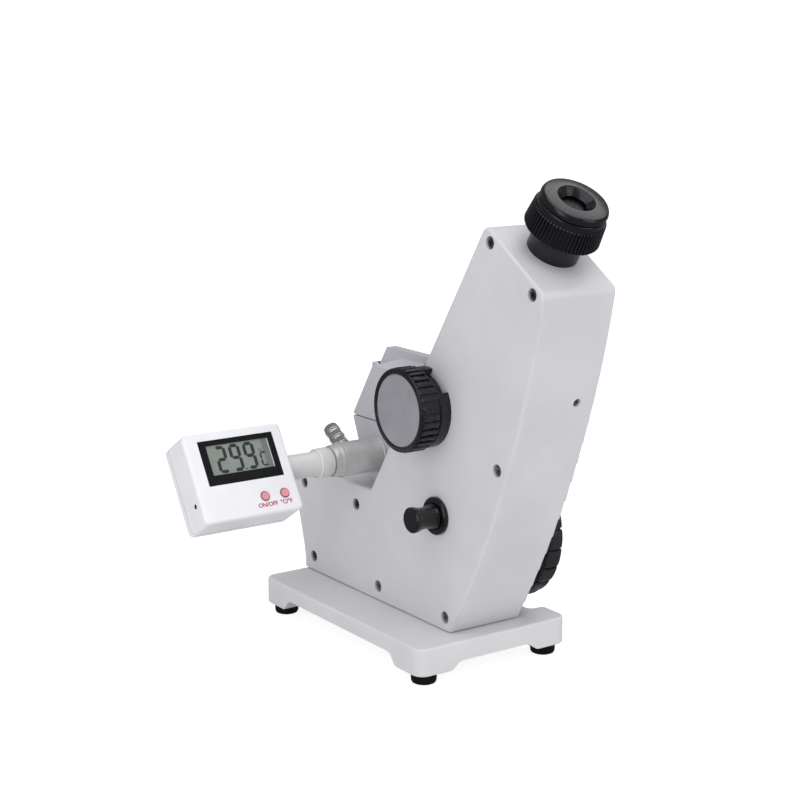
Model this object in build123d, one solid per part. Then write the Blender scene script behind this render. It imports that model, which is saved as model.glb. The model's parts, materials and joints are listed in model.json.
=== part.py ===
from build123d import *
import math
import os

# Bench-top Abbe refractometer with a digital thermometer.
# X runs to the operator's right, minus Y towards the operator and Z up.
# The origin is on the table, under the middle of the whole object's outline. Positions below
# are counted from the middle of the base until the pieces are written out. Sizes are in millimetres.

# Middle of the whole object's outline, counted from the middle of the base
outline_middle_x = -37.35
outline_middle_y = -22.0

# Base casting, feet and the screws that hold the housing down
base_width = 89.0
base_length = 141.0
base_top = 19.2
base_corner = 6.0
base_edge = 1.2
foot_height = 5.5
foot_radius = 6.2
foot_side_inset = 8.6
foot_end_inset = 8.5
foot_stud = 2.5
side_arch_rise = 6.0
side_arch_half = 53.0
end_arch_rise = 4.1
end_arch_half = 28.0
arch_run = 9.5
bay_depth = 8.2
bay_half_length = 51.5
bay_round = 3.0
base_screw_radius = 2.0
base_screw_head = 3.6
base_screw_head_height = 3.0
base_screw_side = 10.6
base_screw_front = -42.0
base_screw_rear = 56.0
base_screw_bite = 7.0

# Housing: a cast box whose rear face leans over the operator's side
housing_left = -18.4
housing_width = 41.9
cover_rim = 5.0
cover_wall = 3.0
wall = 3.2
slant_angle = 33.12
slope_foot_y = 8.8
box_height = 56.2
face_length = 167.8
top_width = 49.0
front_foot_y = -58.6
front_bulge = 8.5
rear_foot_y = 71.6
rear_lean = 16.0
rear_bend = 51.0
crown_round = 4.0
rear_round = 2.5
edge_round = 1.4
shadow_step = 0.6
shadow_inset = 1.2
pillar_radius = 4.1
cover_screw_radius = 1.5
cover_screw_head = 2.75
cover_screw_recess = 3.0
cover_screw_depth = 2.2
cover_screw_length = 12.0

# Telescope, eyepiece and compensator, all on one leaning axis
scope_x = 5.6
scope_depth = 21.2
tube_radius = 9.0
tube_wall = 1.4
tube_start = 100.0
tube_sink = 2.0
neck_radius = 12.1
neck_height = 10.0
neck_skirt = 8.0
neck_spigot = 11.6
neck_spigot_bore = 10.4
neck_spigot_height = 7.0
neck_plug_radius = 10.3
ring_radius = 17.9
ring_taper = 1.3
ring_height = 14.6
ring_barrel = 10.1
ring_barrel_wall = 1.5
ring_barrel_drop = 5.0
ring_flute_pitch = 1.45
ring_flute_side = 1.0
ring_smooth_band = 1.6
cap_radius = 15.9
cap_top_radius = 15.0
cap_height = 3.6
cap_crown = 0.6
funnel_radius = 8.0
funnel_hole = 4.0
funnel_depth = 3.1
cap_step = 0.7
lens_thickness = 2.2
objective_thickness = 4.0
reticle_thickness = 1.0
turn_fit = 0.05

barrel_radius = 13.5
barrel_bore = 11.6
barrel_start = 44.0
barrel_end = 96.0
cell_clearance = 0.1
cell_bore = 8.25
cell_length = 15.5
amici_side = 11.6
amici_length = 13.0
pinion_radius = 4.6
pinion_width = 4.0
mesh_gap = 0.3
bevel_radius = 7.7
saddle_width = 8.0

# Dispersion handwheel on the left, on its own cross axis
disp_s = 68.9
disp_depth = 12.8
knob_radius = 20.2
knob_front = -35.5
knob_back = -24.5
knob_skin = 3.0
knob_rim = 2.1
knob_dish = 1.6
knob_disc_radius = 17.2
knob_disc_thickness = 0.8
knob_groove_pitch = 2.7
knob_groove_radius = 0.75
disp_shaft_radius = 3.0
disp_bush_radius = 5.5
shroud_radius = 19.3
shroud_wall = 1.8
shroud_front = -24.2
window_low = 30.0
window_high = 77.0
scale_ring_radius = 16.3
scale_ring_wall = 1.6
shaft_fit = 0.03

# Refractive-index handwheel on the right, with the glass scale dial inside
index_y = -43.5
index_z = 62.0
index_radius = 35.6
index_inner_x = 25.5
index_outer_x = 34.5
index_groove_count = 22
index_groove_radius = 1.3
index_dish = 3.2
index_hub = 9.0
index_rim = 6.5
index_shaft_radius = 3.0
index_bush_radius = 6.0
index_bush_flange = 9.5
index_bush_start = 13.0
dial_radius = 20.0
dial_thickness = 1.6
dial_x = 8.0
dial_hub = 6.0
dial_hub_length = 2.0

# Swinging mirror under the compensator
mirror_s = 22.0
mirror_width = 18.0
mirror_length = 15.0
mirror_plate = 2.0
mirror_glass = 1.2
mirror_shaft_radius = 2.0
mirror_boss = 5.0
mirror_boss_length = 4.5

# Condenser knob that lights the scale
cond_y = -48.0
cond_z = 74.8
cond_flange_radius = 9.2
cond_flange_thickness = 2.5
cond_head_radius = 6.2
cond_head_thickness = 2.3
cond_front = -33.9
cond_waist = 5.0
cond_stem = 4.0
cond_inner_end = 4.0
cond_lens_thickness = 2.0

# Calibration screw in the front face
cal_x = 12.5
cal_z = 136.5
cal_radius = 2.0
cal_length = 9.0
cal_sunk = 1.2

# Prism mount, refracting-prism seat and light-entering prism seat
seat_left = -11.1
seat_right = 19.7
flange_thickness = 6.0
flange_left = -9.5
flange_right = 18.1
flange_foot_z = 78.0
flange_top_s = 66.0
light_hole = 7.0
seam_z = 108.3
seam_gap = 0.6
glass_proud = 0.15
seat_rear_depth = 40.3
seat_top_z = 136.2
lower_rear_y = 35.3
lower_lean = 22.7
lower_bottom_s = -2.0
seat_front_gap = 1.0
seat_edge = 0.8
prism_left = -4.7
prism_right = 13.3
hinge_depth = 6.5
hinge_s = 74.0
knuckle_radius = 5.1
hinge_pin_radius = 2.0
hinge_pin_head = 2.8
arm_left = -6.9
arm_width = 5.5
arm_gap = 0.3
arm_rear_depth = 40.3
far_arm_y = -9.0
shoulder_rise = 6.2
entry_sill = 2.8

# Light shield on the upper seat and mirror flap on the lower seat
flap_thickness = 1.2
flap_gap = 0.3
flap_side = 4.6
flap_pin_radius = 0.8
flap_barrel = 1.5
flap_ear = 2.0
shield_length = 30.0
reflector_length = 22.0

# Prism lock on the right of the seats
lock_y = 22.0
lock_z = 101.5
lock_radius = 7.5
lock_front = 33.0
lock_start = 23.5
lock_shaft = 2.5
lock_pin_lift = 9.0
lock_pin_radius = 1.5
lock_hook_gap = 0.4
lock_hook_width = 2.0
lock_hook_thickness = 2.0
lock_turn = 75.0

# Thermometer seat, its hose nipple and the water connectors
therm_y = 13.3
therm_z = 91.7
therm_barrel = 8.6
therm_barrel_end = -34.1
therm_lip = 0.6
therm_lip_width = 1.2
gland_end = -39.6
gland_small = 7.75
ferrule_end = -48.0
ferrule_radius = 7.5
ferrule_pitch = 1.3
stem_tube_radius = 6.15
probe_radius = 2.2
probe_fit = 0.05
probe_tip = -8.5
nipple_x = -27.1
nipple_reach = 22.3
nipple_radius = 4.07
nipple_root = 3.2
nipple_bore = 1.9
nipple_sink = 2.5
nipple_barb_pitch = 4.8
nipple_barbs = 3
connector_reach = 17.0

# Digital display head on the end of the thermometer
display_left = -119.2
display_width = 53.1
display_height = 44.3
display_depth = 21.2
display_above = 21.2
display_front = 8.95
display_tilt = 31.9
case_round = 2.6
case_wall = 1.6
back_depth = 4.6
bezel_left = 7.1
bezel_right = 47.5
bezel_top = 4.2
bezel_bottom = 26.6
bezel_thickness = 0.6
bezel_sunk = 0.2
glass_left = 11.0
glass_right = 44.7
glass_top = 6.7
glass_bottom = 21.6
side_hole_radius = 0.7
side_hole_from_top = 33.5
side_hole_out = 3.5
button_radius = 2.0
button_proud = 0.8
button_travel = 1.0
button_clearance = 0.15
button_flange = 0.7
power_from_left = 34.1
unit_from_left = 44.8
button_from_top = 35.4
board_thickness = 1.6
board_inset = 1.2
cell_radius = 7.8
cell_height = 4.6

# Values worked out from the sizes above
housing_right = housing_left + housing_width
cover_split = housing_left + cover_rim
box_top = base_top + box_height
slope = math.radians(slant_angle)
slope_cos = math.cos(slope)
slope_sin = math.sin(slope)
scope_dir = Vector(0, -slope_sin, slope_cos)
face_dir = Vector(0, slope_cos, slope_sin)
seat_centre = (seat_left + seat_right) / 2


def face_point(depth, up):
    """Return (y, z) of a point, from its height off the slanted face and its way up it."""
    y = slope_foot_y + depth * slope_cos - up * slope_sin
    z = box_top + depth * slope_sin + up * slope_cos
    return (y, z)


def up_at(depth, z):
    """Return the way up the slanted face at which a point this far off it has height z."""
    return (z - box_top - depth * slope_sin) / slope_cos


def slab(outline, x_from, x_to):
    """Extrude a face drawn in (y, z) along X."""
    return extrude(Plane.YZ.offset(x_from) * outline, amount=x_to - x_from)


def polygon(points):
    return make_face(Polyline(*points, close=True))


def rod_x(y, z, radius, x_from, x_to):
    """A round bar along X."""
    return slab(Pos(y, z) * Circle(radius), x_from, x_to)


def ring_x(y, z, outer, inner, x_from, x_to):
    return slab(Pos(y, z) * (Circle(outer) - Circle(inner)), x_from, x_to)


def cone_x(y, z, r_from, r_to, x_from, x_to):
    """A round bar along X whose radius changes evenly."""
    small = Plane.YZ.offset(x_from) * Pos(y, z) * Circle(r_from)
    large = Plane.YZ.offset(x_to) * Pos(y, z) * Circle(r_to)
    return loft([small, large])


def turned(plane, points):
    """Turn a closed half section, given as (radius, along), about the plane's normal."""
    section = Plane.XZ * polygon(points)
    return plane.location * revolve(section, Axis.Z)


# Every plane below has its normal along a turning axis of the object
scope_origin_y, scope_origin_z = face_point(-scope_depth, 0)
scope_plane = Plane(
    origin=(scope_x, scope_origin_y, scope_origin_z), x_dir=(1, 0, 0), z_dir=scope_dir)
disp_y, disp_z = face_point(-disp_depth, disp_s)
mirror_y, mirror_z = face_point(-scope_depth, mirror_s)
hinge_y, hinge_z = face_point(hinge_depth, hinge_s)


def scope_tube(start, end, outer, inner=0.0):
    """A tube on the telescope axis, from one distance up the slanted face to another."""
    section = Circle(outer)
    if inner:
        section = section - Circle(inner)
    return extrude(scope_plane.offset(start) * section, amount=end - start)


# Housing outline

def housing_outline(inset=0.0):
    """The side outline of the housing, drawn in (y, z)."""
    foot = (front_foot_y, base_top)
    slope_foot = face_point(0, 0)
    crown_rear = face_point(0, face_length)
    crown_front = face_point(-top_width, face_length)
    middle_y = (foot[0] + crown_front[0]) / 2
    middle_z = (foot[1] + crown_front[1]) / 2
    run_y = foot[0] - crown_front[0]
    run_z = foot[1] - crown_front[1]
    run = math.hypot(run_y, run_z)
    bulge = (middle_y + front_bulge * run_z / run, middle_z - front_bulge * run_y / run)
    lean = math.radians(rear_lean)
    bend_top = (rear_foot_y + rear_bend * (1 - math.cos(lean)),
                base_top + rear_bend * math.sin(lean))
    half = lean / 2
    bend_middle = (rear_foot_y + rear_bend * (1 - math.cos(half)),
                   base_top + rear_bend * math.sin(half))
    rear_foot = (rear_foot_y, base_top)
    box_rear = (bend_top[0] + (box_top - bend_top[1]) * math.tan(lean), box_top)
    lines = [
        ThreePointArc(foot, bulge, crown_front),
        Line(crown_front, crown_rear),
        Line(crown_rear, slope_foot),
        Line(slope_foot, box_rear),
        Line(box_rear, bend_top),
        ThreePointArc(bend_top, bend_middle, rear_foot),
        Line(rear_foot, foot),
    ]
    outline = make_face(Wire(lines))
    if inset:
        outline = offset(outline, amount=-inset, kind=Kind.INTERSECTION)
    return outline


def near(edge, point):
    """Tell whether an edge that runs along X crosses a point given in (y, z)."""
    centre = edge.center()
    return math.hypot(centre.Y - point[0], centre.Z - point[1]) < 0.5


def housing_body():
    """The closed outer form of housing and cover together."""
    body = slab(housing_outline(), housing_left, housing_right)
    across = body.edges().filter_by(Axis.X)
    crown_rear = face_point(0, face_length)
    crown_front = face_point(-top_width, face_length)
    crown = [e for e in across if near(e, crown_rear) or near(e, crown_front)]
    body = fillet(crown, crown_round)
    across = body.edges().filter_by(Axis.X)
    box_rear = [e for e in across if abs(e.center().Z - box_top) < 0.1 and e.center().Y > 40]
    body = fillet(box_rear, rear_round)
    sides = body.faces().filter_by(Axis.X)
    rims = []
    for side in sides:
        rims += [e for e in side.edges() if e.center().Z > base_top + 0.5]
    return fillet(rims, edge_round)


def cover_screw_points():
    """Places of the cover screws, in (y, z), each a set way in from the edges."""
    return [
        face_point(-7.4, face_length - 4.7),
        face_point(-43.2, face_length - 4.7),
        (-93.5, 106.0),
        (front_foot_y + 4.1, base_top + 6.8),
        (2.1, base_top + 7.4),
        (rear_foot_y - 9.0, base_top + 8.0),
        (rear_foot_y - 0.3, box_top - 9.6),
        (slope_foot_y + 13.0, box_top - 10.6),
    ]


def cavity(x_from, x_to):
    return slab(housing_outline(wall), x_from, x_to)


def base_screw_points():
    middle = (housing_left + housing_right) / 2
    places = []
    for y in (base_screw_front, base_screw_rear):
        for side in (-1, 1):
            places.append((middle + side * base_screw_side, y))
    return places


body_form = housing_body()


def calibration_axis():
    """Plane at the calibration hole, with its normal out of the bulging front face."""
    foot = Vector(0, front_foot_y, base_top)
    top_y, top_z = face_point(-top_width, face_length)
    top = Vector(0, top_y, top_z)
    run = (top - foot).length
    radius = (run * run / 4 + front_bulge ** 2) / (2 * front_bulge)
    direction = (top - foot).normalized()
    normal = Vector(0, -direction.Z, direction.Y)
    centre = (foot + top) / 2 - normal * (radius - front_bulge)
    spot = Vector(cal_x, centre.Y - math.sqrt(radius ** 2 - (cal_z - centre.Z) ** 2), cal_z)
    outward = Vector(0, spot.Y - centre.Y, spot.Z - centre.Z)
    return Plane(origin=spot, x_dir=(1, 0, 0), z_dir=outward)


def housing_casting():
    keep = Pos((cover_split + housing_right) / 2, 0, 0) * Box(
        housing_right - cover_split, 600, 600)
    body = body_form & keep
    body -= cavity(cover_split, housing_right - wall)
    for y, z in cover_screw_points():
        pillar = rod_x(y, z, pillar_radius, cover_split, housing_right - wall)
        pilot = rod_x(y, z, cover_screw_radius, cover_split, housing_left + cover_screw_length + 1)
        body += pillar & slab(housing_outline(0.6), cover_split, housing_right)
        body -= pilot
    for x, y in base_screw_points():
        boss = Pos(x, y, base_top) * Cylinder(
            5.0, wall + base_screw_bite, align=(Align.CENTER, Align.CENTER, Align.MIN))
        body += boss
        body -= Pos(x, y, base_top) * Cylinder(
            base_screw_radius, base_screw_bite + 1, align=(Align.CENTER, Align.CENTER, Align.MIN))
    body += rod_x(mirror_y, mirror_z, mirror_boss, housing_right - wall - mirror_boss_length,
                  housing_right - wall / 2)
    body -= rod_x(mirror_y, mirror_z, mirror_shaft_radius + shaft_fit, cover_split,
                  housing_right - wall)
    body -= rod_x(index_y, index_z, index_bush_radius, cover_split, housing_right + 1)
    saddle = slab(saddle_outline(), scope_x, housing_right - wall / 2)
    body += saddle
    body -= scope_tube(barrel_start - 1, barrel_end + 1, barrel_radius)
    body -= scope_tube(face_length - neck_skirt - 1, face_length + 1, neck_plug_radius)
    body -= light_port(-wall - 1, 1)
    cal = calibration_axis()
    body -= extrude(cal.offset(-wall - 4) * Circle(cal_radius + turn_fit), amount=wall + 6)
    body += extrude(cal.offset(-cal_length) * (Circle(4.2) - Circle(cal_radius + turn_fit)),
                    amount=cal_length - wall / 2)
    return body - shadow_groove()


def saddle_outline():
    """Two cross webs that carry the compensator barrel, drawn in (y, z)."""
    webs = Sketch()
    for start in (barrel_start, barrel_end - saddle_width):
        corners = [
            face_point(-scope_depth - barrel_radius + 2, start),
            face_point(-wall / 2, start),
            face_point(-wall / 2, start + saddle_width),
            face_point(-scope_depth - barrel_radius + 2, start + saddle_width),
        ]
        webs += polygon(corners)
    return webs


def light_port(depth_from, depth_to):
    """The round way for light through the slanted wall and the prism mount."""
    y, z = face_point(depth_from, mirror_s)
    plane = Plane(origin=(scope_x, y, z), x_dir=(1, 0, 0), z_dir=face_dir)
    return extrude(plane * Circle(light_hole), amount=depth_to - depth_from)


def shadow_groove():
    """A shallow step all round the foot, which shows as a dark line over the base."""
    outer = Pos((housing_left + housing_right) / 2, 10, base_top + shadow_step / 2) * Box(
        housing_width + 4, 400, shadow_step)
    front_y = front_foot_y + shadow_inset
    rear_y = rear_foot_y - shadow_inset
    core = Pos((housing_left + housing_right) / 2, (front_y + rear_y) / 2, base_top) * Box(
        housing_width - 2 * shadow_inset, rear_y - front_y, 4 * shadow_step)
    return outer - core


def cover_plate():
    keep = Pos((housing_left + cover_split) / 2, 0, 0) * Box(cover_rim, 600, 600)
    body = body_form & keep
    body -= cavity(housing_left + cover_wall, cover_split)
    for y, z in cover_screw_points():
        boss = rod_x(y, z, pillar_radius, housing_left + cover_wall / 2, cover_split)
        body += boss & slab(housing_outline(0.6), housing_left, cover_split)
        body -= rod_x(y, z, cover_screw_radius + 0.1, housing_left - 1, cover_split)
        body -= rod_x(y, z, cover_screw_recess, housing_left - 1, housing_left + cover_screw_depth)
    body += rod_x(disp_y, disp_z, disp_bush_radius + 3, housing_left + cover_wall / 2, cover_split)
    body -= rod_x(disp_y, disp_z, disp_bush_radius, housing_left - 1, cover_split)
    body += rod_x(cond_y, cond_z, cond_stem + 4, housing_left + cover_wall / 2, cover_split)
    body -= rod_x(cond_y, cond_z, cond_stem + 1.5, housing_left - 1, cover_split)
    return body - shadow_groove()


def cover_screws():
    screws = []
    for y, z in cover_screw_points():
        face = housing_left + cover_screw_depth
        head = rod_x(y, z, cover_screw_head, face - 1.6, face)
        shank = rod_x(y, z, cover_screw_radius, face, housing_left + cover_screw_length)
        socket = slab(Pos(y, z) * RegularPolygon(1.25, 6), face - 1.6, face - 0.5)
        screws.append(head + shank - socket)
    return Compound(children=screws)


# Base

def base_casting():
    outline = Rectangle(base_width, base_length)
    outline = fillet(outline.vertices(), base_corner)
    bay = Pos(base_width / 2, 0) * Rectangle(2 * bay_depth, 2 * bay_half_length)
    outline -= bay
    inner = [v for v in outline.vertices() if v.X > 20 and abs(abs(v.Y) - bay_half_length) < 0.1]
    outline = fillet(inner, bay_round)
    body = extrude(Pos(0, 0, foot_height) * outline, amount=base_top - foot_height)
    body = fillet(body.faces().sort_by(Axis.Z)[-1].edges(), base_edge)
    body = chamfer(body.faces().sort_by(Axis.Z)[0].edges(), 0.6)
    body -= slab(underside_arch(side_arch_half, side_arch_rise), -base_width, base_width)
    body -= extrude(Plane.XZ * underside_arch(end_arch_half, end_arch_rise),
                    amount=base_length, both=True)
    for x, y in foot_points():
        body -= Pos(x, y, foot_height) * Cylinder(
            foot_stud, 6, align=(Align.CENTER, Align.CENTER, Align.MIN))
    for x, y in base_screw_points():
        body -= Pos(x, y, base_top) * Cylinder(
            base_screw_radius + 0.2, 30, align=(Align.CENTER, Align.CENTER, Align.CENTER))
        body -= Pos(x, y, 0) * Cylinder(
            base_screw_head + 0.3, base_screw_seat(), align=(Align.CENTER, Align.CENTER, Align.MIN))
    return body


def underside_arch(half, rise):
    """Side view of the hollow between two foot blocks, with S-shaped ends."""
    low = foot_height
    high = foot_height + rise
    start = Spline((-half, low), (arch_run - half, high), tangents=[(1, 0), (1, 0)])
    end = Spline((half - arch_run, high), (half, low), tangents=[(1, 0), (1, 0)])
    return make_face(Wire([
        start, Line((arch_run - half, high), (half - arch_run, high)), end,
        Line((half, low), (half, 0)), Line((half, 0), (-half, 0)), Line((-half, 0), (-half, low)),
    ]))


def base_screw_seat():
    """Height of the shoulder that the base screw heads pull up against."""
    return foot_height + side_arch_rise + base_screw_head_height - 0.6


def foot_points():
    places = []
    for side in (-1, 1):
        for end in (-1, 1):
            places.append((side * (base_width / 2 - foot_side_inset),
                           end * (base_length / 2 - foot_end_inset)))
    return places


def base_feet():
    feet = []
    for x, y in foot_points():
        pad = turned(Plane((x, y, 0)), [
            (0, 0), (foot_radius - 1.2, 0), (foot_radius - 0.2, 0.9), (foot_radius, foot_height),
            (foot_stud, foot_height), (foot_stud, foot_height + 5.5), (0, foot_height + 5.5)])
        feet.append(pad)
    return Compound(children=feet)


def base_screws():
    seat = base_screw_seat()
    screws = []
    for x, y in base_screw_points():
        screw = turned(Plane((x, y, 0)), [
            (1.4, seat - 1.2), (1.4, seat - base_screw_head_height),
            (base_screw_head, seat - base_screw_head_height), (base_screw_head, seat),
            (base_screw_radius, seat), (base_screw_radius, base_top + base_screw_bite),
            (0, base_top + base_screw_bite), (0, seat - 1.2)])
        screws.append(screw)
    return Compound(children=screws)


# Telescope and eyepiece

def telescope_tube():
    return scope_tube(tube_start, face_length + tube_sink, tube_radius, tube_radius - tube_wall)


def objective_lens():
    r = tube_radius - tube_wall
    half = objective_thickness / 2
    start = tube_start + 1.5
    plane = scope_plane.offset(start + half)
    body = extrude(plane.offset(-half) * Circle(r), amount=objective_thickness)
    ball_radius = 30.0
    for way in (-1, 1):
        ball = plane.offset(-way * (ball_radius - half)).location * Sphere(ball_radius)
        body = body & ball
    return body


def reticle_plate():
    start = face_length - 6
    return scope_tube(start, start + reticle_thickness, tube_radius - tube_wall)


def eyepiece_neck():
    base = face_length
    bore = tube_radius + shaft_fit
    top = base + neck_height
    return turned(scope_plane, [
        (bore, base - neck_skirt), (neck_plug_radius, base - neck_skirt), (neck_plug_radius, base),
        (neck_radius, base),
        (neck_radius, top), (neck_spigot, top),
        (neck_spigot, top + neck_spigot_height), (neck_spigot_bore, top + neck_spigot_height),
        (neck_spigot_bore, base + tube_sink + 1), (bore, base + tube_sink)])


def eyepiece_ring():
    low = face_length + neck_height + 0.3
    high = low + ring_height
    bore = neck_spigot + turn_fit
    roof = face_length + neck_height + neck_spigot_height + 0.4
    barrel_inner = ring_barrel - ring_barrel_wall
    barrel_low = face_length + neck_height - ring_barrel_drop
    body = turned(scope_plane, [
        (bore, low), (ring_radius - 0.9, low), (ring_radius, low + 1.0),
        (ring_radius - ring_taper, high), (cap_radius - 2.2, high), (cap_radius - 2.2, high + cap_step),
        (barrel_inner, high + cap_step), (barrel_inner, barrel_low), (ring_barrel, barrel_low),
        (ring_barrel, roof), (bore, roof)])
    count = round(2 * math.pi * ring_radius / ring_flute_pitch)
    lean = math.degrees(math.atan(ring_taper / ring_height))
    flute = scope_plane.offset(low - 1).location * Pos(ring_radius + 0.2, 0, 0) * Rot(0, -lean, 0)
    cutter = flute * extrude(Rot(0, 0, 45) * Rectangle(ring_flute_side, ring_flute_side),
                             amount=ring_height + 1 - ring_smooth_band)
    cuts = [cutter.rotate(Axis(scope_plane.origin, scope_dir), i * 360 / count)
            for i in range(count)]
    return body - cuts


def eyepiece_cap():
    low = face_length + neck_height + 0.3 + ring_height
    high = low + cap_height
    inner = cap_radius - 2.2
    return turned(scope_plane, [
        (inner, low + 0.1), (cap_radius, low + 0.1), (cap_radius, low + 1.6),
        (cap_radius - 0.7, low + 2.0), (cap_radius - 0.2, low + 2.6), (cap_radius - 0.4, high - 0.6),
        (cap_top_radius, high), (funnel_radius + 1.0, high + cap_crown),
        (funnel_radius, high + cap_crown - 0.3), (funnel_hole + 0.6, high - funnel_depth),
        (funnel_hole, high - funnel_depth), (funnel_hole, low + cap_step), (inner, low + cap_step)])


def lens_disc(start, radius, thickness, bulge):
    """A plano-convex lens whose round side faces up the axis."""
    ball_radius = (radius ** 2 + bulge ** 2) / (2 * bulge)
    body = scope_tube(start, start + thickness, radius)
    centre = scope_plane.offset(start + thickness - ball_radius).location
    return body & (centre * Sphere(ball_radius))


def eye_lens():
    top = face_length + neck_height + 0.3 + ring_height + 0.3
    return lens_disc(top - lens_thickness, ring_barrel - ring_barrel_wall, lens_thickness, 1.2)


def field_lens():
    low = face_length + neck_height - ring_barrel_drop + 0.6
    return lens_disc(low, ring_barrel - ring_barrel_wall, lens_thickness, 1.0)


# Compensator

def compensator_barrel():
    bore = tube_radius + shaft_fit
    body = turned(scope_plane, [
        (barrel_bore, barrel_start), (barrel_radius, barrel_start), (barrel_radius, barrel_end),
        (barrel_radius - 1.5, barrel_end + 5), (bore, barrel_end + 5), (bore, barrel_end - 3),
        (barrel_bore, barrel_end - 3)])
    lip = scope_tube(barrel_start, barrel_start + 1.2, barrel_bore, cell_bore)
    slot = Location(scope_plane.offset(disp_s).location) * Pos(-barrel_radius, 6, 0) * Box(
        26, 20, 2 * pinion_radius + 1.2)
    return body + lip - slot


def lower_cell_span():
    top = disp_s - pinion_radius - mesh_gap
    return (top - cell_length, top)


def upper_cell_span():
    low = disp_s + pinion_radius + mesh_gap
    return (low, low + cell_length)


def amici_cell(span):
    return scope_tube(span[0], span[1], barrel_bore - cell_clearance, cell_bore)


def amici_prism(span):
    """A direct-vision prism bar that fills the bore of its cell at the corners."""
    middle = (span[0] + span[1]) / 2
    plane = scope_plane.offset(middle - amici_length / 2)
    section = chamfer(Rectangle(amici_side, amici_side).vertices(), 0.5)
    return extrude(plane * section, amount=amici_length)


# Dispersion handwheel

def dispersion_knob():
    body = rod_x(disp_y, disp_z, knob_radius, knob_front, knob_back)
    rims = body.edges().filter_by(GeomType.CIRCLE)
    body = fillet(rims, 0.8)
    body -= rod_x(disp_y, disp_z, knob_disc_radius, knob_front - 1, knob_front + knob_dish)
    body -= rod_x(disp_y, disp_z, shroud_radius - shroud_wall, knob_front + knob_skin + 2, knob_back + 1)
    body += rod_x(disp_y, disp_z, 7.0, knob_front + knob_skin, knob_back)
    body -= rod_x(disp_y, disp_z, disp_shaft_radius, knob_front + knob_skin, knob_back + 1)
    count = round(2 * math.pi * knob_radius / knob_groove_pitch)
    cutters = []
    for i in range(count):
        angle = 2 * math.pi * i / count
        reach = knob_radius + 0.15
        y = disp_y + reach * math.cos(angle)
        z = disp_z + reach * math.sin(angle)
        cutters.append(rod_x(y, z, knob_groove_radius, knob_front + knob_rim, knob_back + 1))
    return body - cutters


def knob_disc():
    face = knob_front + knob_dish
    return rod_x(disp_y, disp_z, knob_disc_radius - 0.05, face - knob_disc_thickness, face)


def dispersion_scale_ring():
    inner = scale_ring_radius - scale_ring_wall
    ring = ring_x(disp_y, disp_z, scale_ring_radius, inner, knob_back - 3, shroud_front + 4.5)
    web = ring_x(disp_y, disp_z, scale_ring_radius, disp_shaft_radius, knob_back, knob_back + 1.6)
    return ring + web


def dispersion_shaft():
    """The handwheel's shaft, with the pinion blank that drives both prism cells on its end."""
    middle = scope_x - bevel_radius
    shaft = rod_x(disp_y, disp_z, disp_shaft_radius, knob_front + knob_skin, middle)
    return shaft + rod_x(disp_y, disp_z, pinion_radius, middle - pinion_width / 2,
                         middle + pinion_width / 2)


def dispersion_bush():
    inner = disp_shaft_radius + shaft_fit
    flange = ring_x(disp_y, disp_z, disp_bush_radius + 1.5, inner, housing_left - 1.2, housing_left)
    return flange + ring_x(disp_y, disp_z, disp_bush_radius, inner, housing_left, cover_split + 1)


def dispersion_shroud():
    ring = ring_x(disp_y, disp_z, shroud_radius, shroud_radius - shroud_wall,
                  shroud_front, housing_left)
    far = 40.0
    low = math.radians(window_low)
    high = math.radians(window_high)
    window = polygon([
        (disp_y, disp_z),
        (disp_y - far * math.cos(low), disp_z + far * math.sin(low)),
        (disp_y - far * math.cos(high), disp_z + far * math.sin(high)),
    ])
    return ring - slab(window, shroud_front - 1, housing_left + 1)


# Refractive-index handwheel and its dial

def index_handwheel():
    span = index_outer_x - index_inner_x
    inner_rim = index_radius - index_rim
    plane = Plane(origin=(index_inner_x, index_y, index_z), x_dir=(0, 1, 0), z_dir=(1, 0, 0))
    body = turned(plane, [
        (index_shaft_radius, 0), (index_radius - 1.2, 0), (index_radius, 1.2),
        (index_radius, span - 2.5), (index_radius - 0.8, span - 0.9), (index_radius - 2.4, span),
        (inner_rim, span), (inner_rim - 1.4, span - index_dish), (index_hub + 1, span - index_dish),
        (index_hub, span - 0.8), (index_shaft_radius, span - 0.8)])
    cutters = []
    for i in range(index_groove_count):
        angle = 2 * math.pi * i / index_groove_count
        reach = index_radius + 0.2
        y = index_y + reach * math.cos(angle)
        z = index_z + reach * math.sin(angle)
        cutters.append(rod_x(y, z, index_groove_radius, index_inner_x - 1, index_outer_x + 1))
    return body - cutters


def index_shaft():
    """The handwheel's shaft, with the collar that the glass dial is clamped against."""
    shaft = rod_x(index_y, index_z, index_shaft_radius, dial_x - dial_hub_length,
                  index_outer_x - 0.8)
    return shaft + rod_x(index_y, index_z, dial_hub, dial_x + dial_thickness,
                         dial_x + dial_thickness + dial_hub_length)


def index_bush():
    inner = index_shaft_radius + shaft_fit
    sleeve = ring_x(index_y, index_z, index_bush_radius, inner, index_bush_start, housing_right)
    return sleeve + ring_x(index_y, index_z, index_bush_flange, inner, housing_right,
                           housing_right + 1.4)


def scale_dial():
    return ring_x(index_y, index_z, dial_radius, index_shaft_radius, dial_x, dial_x + dial_thickness)


# Swinging mirror

def mirror_facing():
    """Turn that makes the mirror send light from the prisms up the telescope."""
    return Location(Plane(
        origin=(scope_x, mirror_y, mirror_z), x_dir=(1, 0, 0),
        z_dir=(scope_dir + face_dir).normalized()))


def mirror_holder():
    plate = mirror_facing() * Pos(0, 0, -mirror_plate / 2) * Box(
        mirror_width, mirror_length, mirror_plate)
    shaft_end = housing_right - wall - 0.5
    back = mirror_facing() * Pos(0, 0, -mirror_plate) * Box(mirror_width, 6, 3.0)
    shaft = rod_x(mirror_y, mirror_z, mirror_shaft_radius, scope_x - mirror_width / 2, shaft_end)
    face_cut = mirror_facing() * Pos(0, 0, 5) * Box(mirror_width, 20, 10)
    return plate + back + shaft - face_cut


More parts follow.
